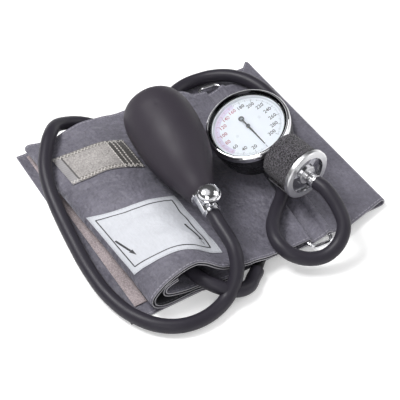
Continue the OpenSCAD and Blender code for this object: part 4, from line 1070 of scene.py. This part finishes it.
# ---- Bulb ----
BULB_AT = np.array([-14, 12.3, 32.3])
BULB_TURN, BULB_TILT = math.radians(-9), math.radians(4)
BULB_D, BULB_L, BULB_WALL = 43.0, 84.0, 2.4
NECK_Y = -0.545 * BULB_L
TIP_Y = NECK_Y + BULB_L
# The belly leans this far and this way, as the photograph shows it
LEAN, LEAN_TO = 0.9, np.array([0.92, -0.21, 0.32])
# Depth of the moulding scar on top of the bulb, its place along and around it, and its half sizes
NICK, NICK_Y, NICK_ANGLE, NICK_LONG, NICK_WIDE = 0.35, 15, 1.75, 1.6, 0.9


def bulb_pt(p):
    """A point of the bulb's own frame, whose Y runs along it, in the shared frame."""
    y, z = turned(p[1], p[2], BULB_TILT)
    return BULB_AT + np.array([*turned(p[0], y, BULB_TURN), z])


def make_bulb(mats):
    """Egg-shaped bulb with its moulded parting line, a rolled neck bead and a hollow inside."""
    r = BULB_D / 2
    profile = [np.array(p, float) for p in (
        (4, TIP_Y), (10, TIP_Y - 1.6), (r - 3.7, TIP_Y - 7.5), (r - 0.8, TIP_Y - 16), (r - 0.3, TIP_Y - 26),
        (r - 0.7, TIP_Y - 36), (r - 2, TIP_Y - 48), (r - 5.2, TIP_Y - 61), (r - 9.5, TIP_Y - 72), (9.4, TIP_Y - 80),
        (8, NECK_Y + 1), (7.2, NECK_Y),
    )]
    curve = [line_at(profile, u) for u in np.arange(0, len(profile) - 1 + 0.001, 1 / 9)]
    outer = [(min(x, r), y) for x, y in curve]
    hollow = [(x - BULB_WALL, y) for x, y in reversed(outer) if NECK_Y + 9 < y < TIP_Y - 6.5]
    inner = [(x, y) for x, y in hollow if x > 5.9]
    bore = [(5.5, NECK_Y), (5.5, NECK_Y + 4), (5.5, NECK_Y + 9)]
    seat = [(7.5, TIP_Y - 6.5), (7.5, TIP_Y - 5), (4.02, TIP_Y - 5), (4.02, TIP_Y - 0.1)]
    ring = [*outer, *bore, *inner, *seat]
    turns = 144
    points, faces = [], []
    for k in range(turns):
        a = 2 * math.pi * k / turns
        off_seam = min(a % math.pi, math.pi - a % math.pi)
        for i, (x, y) in enumerate(ring):
            rr = x
            if i < len(outer) and 6 < x:
                off_nick = ((y - NICK_Y) / NICK_LONG) ** 2 + (((a - NICK_ANGLE) * x) / NICK_WIDE) ** 2
                rr += 0.1 * math.exp(-((off_seam / 0.02) ** 2)) - NICK * math.exp(-off_nick)
            lean = LEAN * math.sin(math.pi * min(1, max(0, (y - NECK_Y) / BULB_L)))
            points.append((bulb_pt((rr * math.cos(a), y, rr * math.sin(a))) + lean * LEAN_TO) * MM)
    n = len(ring)
    for k in range(turns):
        j = (k + 1) % turns
        for i in range(n):
            m = (i + 1) % n
            faces.append((k * n + i, k * n + m, j * n + m, j * n + i))
    make_piece("squeeze_bulb", points, faces, mats["bulb"], slot="black_rubber", replaces=["bulb"], sharp=50)


# ---- Gauge ----
GAUGE_AT = np.array([30, -3.4, 37.5])
GAUGE_TURN, GAUGE_TILT = math.radians(7), math.radians(-18)
# Height of the inlet stem's axis in the gauge's own frame
STEM_Z = -7.2
DIAL_TURN = math.radians(-7)
DIAL_TOP = -4.1


def gauge_pt(p):
    """A point of the gauge's own frame, whose Z leaves the dial, in the shared frame."""
    z, x = turned(p[2], p[0], GAUGE_TILT)
    return GAUGE_AT + np.array([*turned(x, p[1], GAUGE_TURN), z])


def dial_pt(x, y, lift):
    """Point over the dial, with X and Y as read by someone facing it."""
    return gauge_pt((*turned(x, y, DIAL_TURN), DIAL_TOP + lift)) * MM


# Angle of one unit of the scale, and height and radii of what is printed on the dial
DIAL_STEP = math.radians(22) / 20
INK_LIFT, TINT_LIFT = 0.03, 0.015
MARK_R, NUMBER_R, TINT_R = 20.1, 15.7, (17.6, 20.8)
NUMBER_SIZE, NUMBER_NARROW = 3.6, 0.92


def dial_spot(value, radius):
    """Place on the dial of a value of its scale, which starts at the bottom and runs clockwise."""
    a = value * DIAL_STEP
    return -math.sin(a) * radius, -math.cos(a) * radius


ROUND = np.arange(24) * math.pi / 12
CAP_R, CAP_LIFTS = 1.25, (1.17, 1.3)
# The pointer: heights of its faces, length and half width of its blade, and its ring's place and radii
POINTER_LIFTS, POINTER_L, POINTER_HALF = (0.55, 0.9), 17.8, 0.52
TAIL_L, TAIL_HALF, TAIL_RING_Y, TAIL_RING_R = 5.9, 0.42, 7.3, (1.75, 0.9)


def make_dial_print(mats):
    """Scale marks in two colours, and plain numbers every twenty."""
    marks = {"dial_marks_dark": ([], []), "dial_marks_red": ([], [])}
    for value in range(0, 301, 2):
        red = 60 <= value <= 160
        points, faces = marks["dial_marks_red" if red else "dial_marks_dark"]
        length, width = (2.0, 0.22) if value % 20 == 0 else (1.4, 0.16) if value % 10 == 0 else (0.9, 0.1)
        a = value * DIAL_STEP
        side = np.array([-math.cos(a), math.sin(a)]) * width / 2
        start = len(points)
        for radius in (MARK_R, MARK_R - length):
            x, y = dial_spot(value, radius)
            points += [dial_pt(x - side[0], y - side[1], INK_LIFT), dial_pt(x + side[0], y + side[1], INK_LIFT)]
        faces.append((start, start + 1, start + 3, start + 2))
    places = [dial_spot(value, radius) for value in np.linspace(56, 168, 61) for radius in TINT_R]
    tinted = [dial_pt(x, y, TINT_LIFT) for x, y in places]
    strips = [(i, i + 1, i + 3, i + 2) for i in range(0, len(tinted) - 2, 2)]
    make_piece("dial_tint_band", tinted, strips, mats["tint"], slot="dial_white")
    for value in range(20, 301, 20):
        points, faces = marks["dial_marks_red" if 80 <= value <= 160 else "dial_marks_dark"]
        curve = bpy.data.curves.new("number", "FONT")
        curve.body = str(value)
        curve.size = NUMBER_SIZE
        curve.offset = 0.05
        curve.align_x = curve.align_y = "CENTER"
        curve.resolution_u = 2
        text = bpy.data.objects.new("number", curve)
        bpy.context.scene.collection.objects.link(text)
        bpy.context.view_layer.update()
        mesh = text.evaluated_get(bpy.context.evaluated_depsgraph_get()).to_mesh()
        x0, y0 = dial_spot(value, NUMBER_R)
        start = len(points)
        points += [dial_pt(x0 + v.co.x * NUMBER_NARROW, y0 + v.co.y, INK_LIFT) for v in mesh.vertices]
        faces += [tuple(start + i for i in p.vertices) for p in mesh.polygons]
        bpy.data.objects.remove(text)
        bpy.data.curves.remove(curve)
    make_pointer(mats)
    cap = [dial_pt(CAP_R * math.cos(a), CAP_R * math.sin(a), z) for z in CAP_LIFTS for a in ROUND]
    cap_faces = [tuple(range(24, 48)), tuple(reversed(range(24))), *face_row(0, 24, 24, (0, 3, 2, 1))]
    make_piece("pointer_hub_cap", cap, cap_faces, mats["ink"], body="pointer_arbor", slot="pointer_black")
    make_piece("dial_marks_dark", *marks["dial_marks_dark"], mats["ink"], slot="pointer_black")
    make_piece("dial_marks_red", *marks["dial_marks_red"], mats["red_ink"], slot="dial_white")


def make_pointer(mats):
    """Black pointer: a tapered blade, a short tail and a ring at its end."""
    points, faces = [], []

    def plate(outline, hole=()):
        n, start = len(outline), len(points)
        for z in POINTER_LIFTS:
            points.extend(dial_pt(x, y, z) for x, y in [*outline, *hole])
        step = n + len(hole)
        if hole:
            for k in range(n):
                j = (k + 1) % n
                for z, turn in ((0, -1), (step, 1)):
                    faces.append(tuple(start + z + i for i in (k, j, n + j, n + k)[::turn]))
                faces.append(tuple(start + i for i in (n + k, n + j, step + n + j, step + n + k))[::-1])
        else:
            faces.extend([tuple(start + step + i for i in range(n)), tuple(start + i for i in reversed(range(n)))])
        for k in range(n):
            j = (k + 1) % n
            faces.append(tuple(start + i for i in (k, j, step + j, step + k)))

    w, neck = POINTER_HALF, -POINTER_L + 0.8
    plate([(-w, 0), (-w / 2, neck), (0, -POINTER_L), (w / 2, neck), (w, 0)])
    plate([(TAIL_HALF, 0), (TAIL_HALF, TAIL_L), (-TAIL_HALF, TAIL_L), (-TAIL_HALF, 0)])
    plate(*([(r * math.cos(a), TAIL_RING_Y + r * math.sin(a)) for a in ROUND] for r in TAIL_RING_R))
    make_piece("pointer_hand", points, faces, mats["pointer"], "pointer_arbor", "pointer_black", ["pointer"], 30)


# ---- Keeper band ----
CORE_D, BAND_D, BAND_W, BAND_TURNS = 18.0, 30.0, 19.0, 4
CORE_Y, FLANGE_Y = -26.6, -47.6
# Length of the outer turn, whose pile shows
SHOWN_L = 105


def make_band(mats):
    """Loop tape wound round the stem, its pile standing up, with the free end lapped down."""
    wound = ((BAND_D - CORE_D) / 2 - 0.05 - BAND_TURNS * 0.12) / (BAND_TURNS + 1)
    start_y = CORE_Y - ((CORE_Y - FLANGE_Y) - BAND_W) / 2
    steps = 72
    r0, r1 = (CORE_D + wound) / 2 + 0.05, (BAND_D - wound) / 2
    line = []
    for k in range(BAND_TURNS * steps + 1):
        r = r0 + (r1 - r0) * k / (BAND_TURNS * steps)
        line.append(turned(r, 0, 2 * math.pi * k / steps))
    line += [(r1, d) for d in np.arange(1.0, 9.21, 1.0)]
    # The wound path is mirrored and turned in the stem's own frame, as the CAD part does it
    path = np.array([turned(-y, -x, GAUGE_TILT) for x, y in line])
    along = np.concatenate([[0], np.cumsum(np.linalg.norm(np.diff(path, axis=0), axis=1))])
    widths = hem_places(BAND_W, 0.7, 0.45, 0.2)
    grid = np.array([[gauge_pt((x, start_y - w, z + STEM_Z)) for x, z in path] for w in widths])
    cut = np.stack(np.meshgrid(along, widths), axis=2)
    pile = np.array([[0.16 * noise.noise(Vector((a / 0.8, w / 0.8, 1))) for a in along] for w in widths])
    pile *= along > along[-1] - SHOWN_L
    edge = np.minimum(cut[:, :, 1], BAND_W - cut[:, :, 1])
    thick = (wound - 0.1 + pile) * np.clip(edge / 0.5, 0.45, 1)
    both = [mats["band"], mats["band_edge"]]
    piece = cloth_piece("keeper_band_tape", grid, thick, cut, both, "band_pile", ["keeper_band"])


# ---- The two tubes: the same route points as the CAD part, in millimetres ----
TUBE_D = 8.4
BULB_ROUTE = [
    [-23.4225, -47.1914, 28.0881], [-24.5149, -54.0883, 27.5998], [-26.8, -73.8, 23.8],
    [-31.6, -83.2, 16.6], [-40.5, -87.8, 6.6], [-55.5, -92, 4.7], [-71, -90.5, 4.7], [-83, -82.5, 4.7],
    [-91.5, -68, 4.7], [-95.3, -48, 4.6], [-94.8, -26, 5.4], [-92.2, -4, 7.4], [-89, 17.2, 10.2],
    [-86, 33, 13.8], [-81.4, 46.8, 17.2], [-74.4, 58.4, 19.6], [-66.4, 68.2, 20.6], [-57.6, 76.9, 17.6],
    [-47.6, 80.6, 12.4], [-38.4, 79.8, 8.4], [-31.4, 74.2, 6.4], [-28.6, 65, 6], [-29, 55, 6.4],
    [-32, 45, 8.4], [-37.4, 36, 11], [-42.6, 26, 12], [-46, 12, 11.8], [-47, -8, 11.8], [-48, -32, 11.8],
    [-50, -56, 11.8], [-49, -68, 11.8], [-46, -77, 11.4], [-40.2, -84, 9.4], [-32.8, -87.6, 7],
    [-25.2, -86.8, 5.2], [-19.4, -82.6, 4.4], [-15.9321, -80.2856, 4.21], [-14.4, -79, 4.21],
]
GAUGE_ROUTE = [
    [39.3255, -61.0935, 30.6524], [40.1786, -68.0414, 30.6524], [40.5, -80, 26], [38, -90, 20.5],
    [31, -95, 14], [21.5, -95.5, 10], [12, -91.5, 9.5], [4.3, -84.2, 12], [2.8, -74.2, 13.9],
    [7.3, -63.4, 13.4], [16, -54, 12.2], [26, -45.5, 11.5], [36, -36, 11.4], [45.8, -26.4, 12.4],
    [54, -14, 12], [62, -2, 10.6], [69.5, 12, 10], [73.6, 26, 10], [74.6, 37, 10], [73.2, 48, 10],
    [69.6, 57.6, 10], [63.6, 66, 9.4], [56, 72.8, 7.6], [47.6, 76.4, 6.1], [39, 77.2, 5.8],
    [31.6, 75.9, 5.8], [25.4, 73.6, 5.7], [20.8, 71.4, 5.7], [16.0641, 69.2, 5.7], [12.6, 67.2, 5.7],
]


def make_tubes(mats):
    for node, route in (("bulb_tube", BULB_ROUTE), ("gauge_tube", GAUGE_ROUTE)):
        piece, line = tube_piece(node + "_rubber", route, TUBE_D, mats["tube"], "tube_rubber", node)


# ---- Put the set together ----
place_camera()
for make_group in (make_weave_group, make_speckle_group, make_stitch_group, make_pile_group):
    make_group()
light_the_scene()
lay_floor(floor_material())

CUFF_GREY = (0.158, 0.151, 0.187)
hem_rows = [("across", v * MM, 0.0024) for v in (1.4, CUFF_W - 1.4)]
MATS = {
    "cuff": cloth_material("cuff_cloth", CUFF_GREY, 0.00045, 0.43, 0.3, hem_rows, worn=0.18, crumple=0.85),
    "strap": cloth_material("strap_cloth", CUFF_GREY, 0.00045, 0.45, 0.3, hem_rows, worn=0.18, crumple=0.8),
    "lining": cloth_material("lining_cloth", (0.035, 0.036, 0.04), 0.0005, 0.6, 0.15, hem_rows, (0.1, 0.1, 0.11)),
    "edge": cloth_material("bound_edge", (0.46, 0.45, 0.48), 0.0004, 0.7, 0.3),
    "bladder": rubber_material("bladder_rubber", (0.12, 0.1, 0.09), 0.5, 0.7, 0.2),
    "loop": pile_material("loop_tape", (0.46, 0.39, 0.4), 1100),
    "hook": hook_material,
    "satin": lambda patch: cloth_material(
        "label_satin", (0.7, 0.715, 0.765), 0.0003, 0.34, 0.1,
        [(axis, at * MM, 0.0022) for axis, side in (("across", patch.width), ("along", patch.length))
         for at in (0.9, side - 0.9)],
        (0.5, 0.52, 0.56), 0.03, 0.12, 0.3),
    "band": speckled_pile_material("band_pile", (0.012, 0.01, 0.014), (0.25, 0.23, 0.27)),
    "band_edge": pile_material("band_edge", (0.1, 0.095, 0.11), 1500, sheen=0.4),
    "bulb": rubber_material("bulb_rubber", (0.033, 0.0275, 0.0372), 0.48, 0.58, 0.02, gloss=0.28),
    "tube": rubber_material("tube_rubber", (0.0255, 0.0228, 0.0318), 0.36, 0.46, 0.015, gloss=0.26),
    "ink": paint_material("printed_ink", (0.03, 0.03, 0.035), 0.5, 0.6),
    "red_ink": paint_material("printed_red_ink", (0.4, 0.07, 0.13), 0.5, 0.6),
    "pointer": paint_material("pointer_black", (0.012, 0.012, 0.014), 0.3, 0.4),
    "tint": paint_material("dial_tint", (0.76, 0.68, 0.84), 0.5, 0.6),
}
make_tubes(MATS)
make_wrap(MATS)
make_patches(MATS)
make_strap(MATS)
make_loop_strip(MATS)
make_bulb(MATS)
make_band(MATS)
make_dial_print(MATS)

# Finishes of the CAD nodes that are carried over
NODE_FINISH = (
    (metal_material("chrome_trim", (0.8, 0.8, 0.82), 0.07, 0.1),
     "d_ring inlet_ball inlet_screen valve_body thumbscrew plate_pillars"),
    (bezel_material("bezel_chrome"), "bezel"),
    (paint_material("screw_white", (0.8, 0.82, 0.86), 0.35, 0.5), "dial_screws"),
    (dial_wall_material("dial_wall"), "crystal_gasket"),
    (metal_material("satin_chrome", (0.86, 0.86, 0.87), 0.17, 0.24), "inlet_stem inlet_nipple"),
    (flange_material("flange_chrome"), "inlet_flange"),
    (metal_material("movement_brass", (0.78, 0.57, 0.27), 0.2, 0.35, 0.15, 0.15),
     "inlet_seat pinion_arbor sector_gear rocking_shaft capsule_stud lower_plate upper_plate inlet_block"),
    (metal_material("capsule_bronze", (0.75, 0.48, 0.28), 0.25, 0.4, 0.1, 0.2), "capsule"),
    (metal_material("spring_steel", (0.5, 0.53, 0.58), 0.2, 0.3), "hairspring"),
    (rubber_material("black_rubber", (0.01, 0.01, 0.011), 0.4, 0.55),
     "bulb_port gauge_port valve_o_ring check_disc band_core"),
    (paint_material("black_paint", (0.009, 0.009, 0.011), 0.22, 0.32, 0.2), "gauge_case"),
    (glass_material("gauge_glass"), "crystal"),
    (dial_material("dial_white"), "dial"),
)
for material, names in NODE_FINISH:
    for node_name in names.split():
        NODES[node_name].data.materials.clear()
        NODES[node_name].data.materials.append(material)

bpy.context.scene.view_settings.view_transform = "Standard"
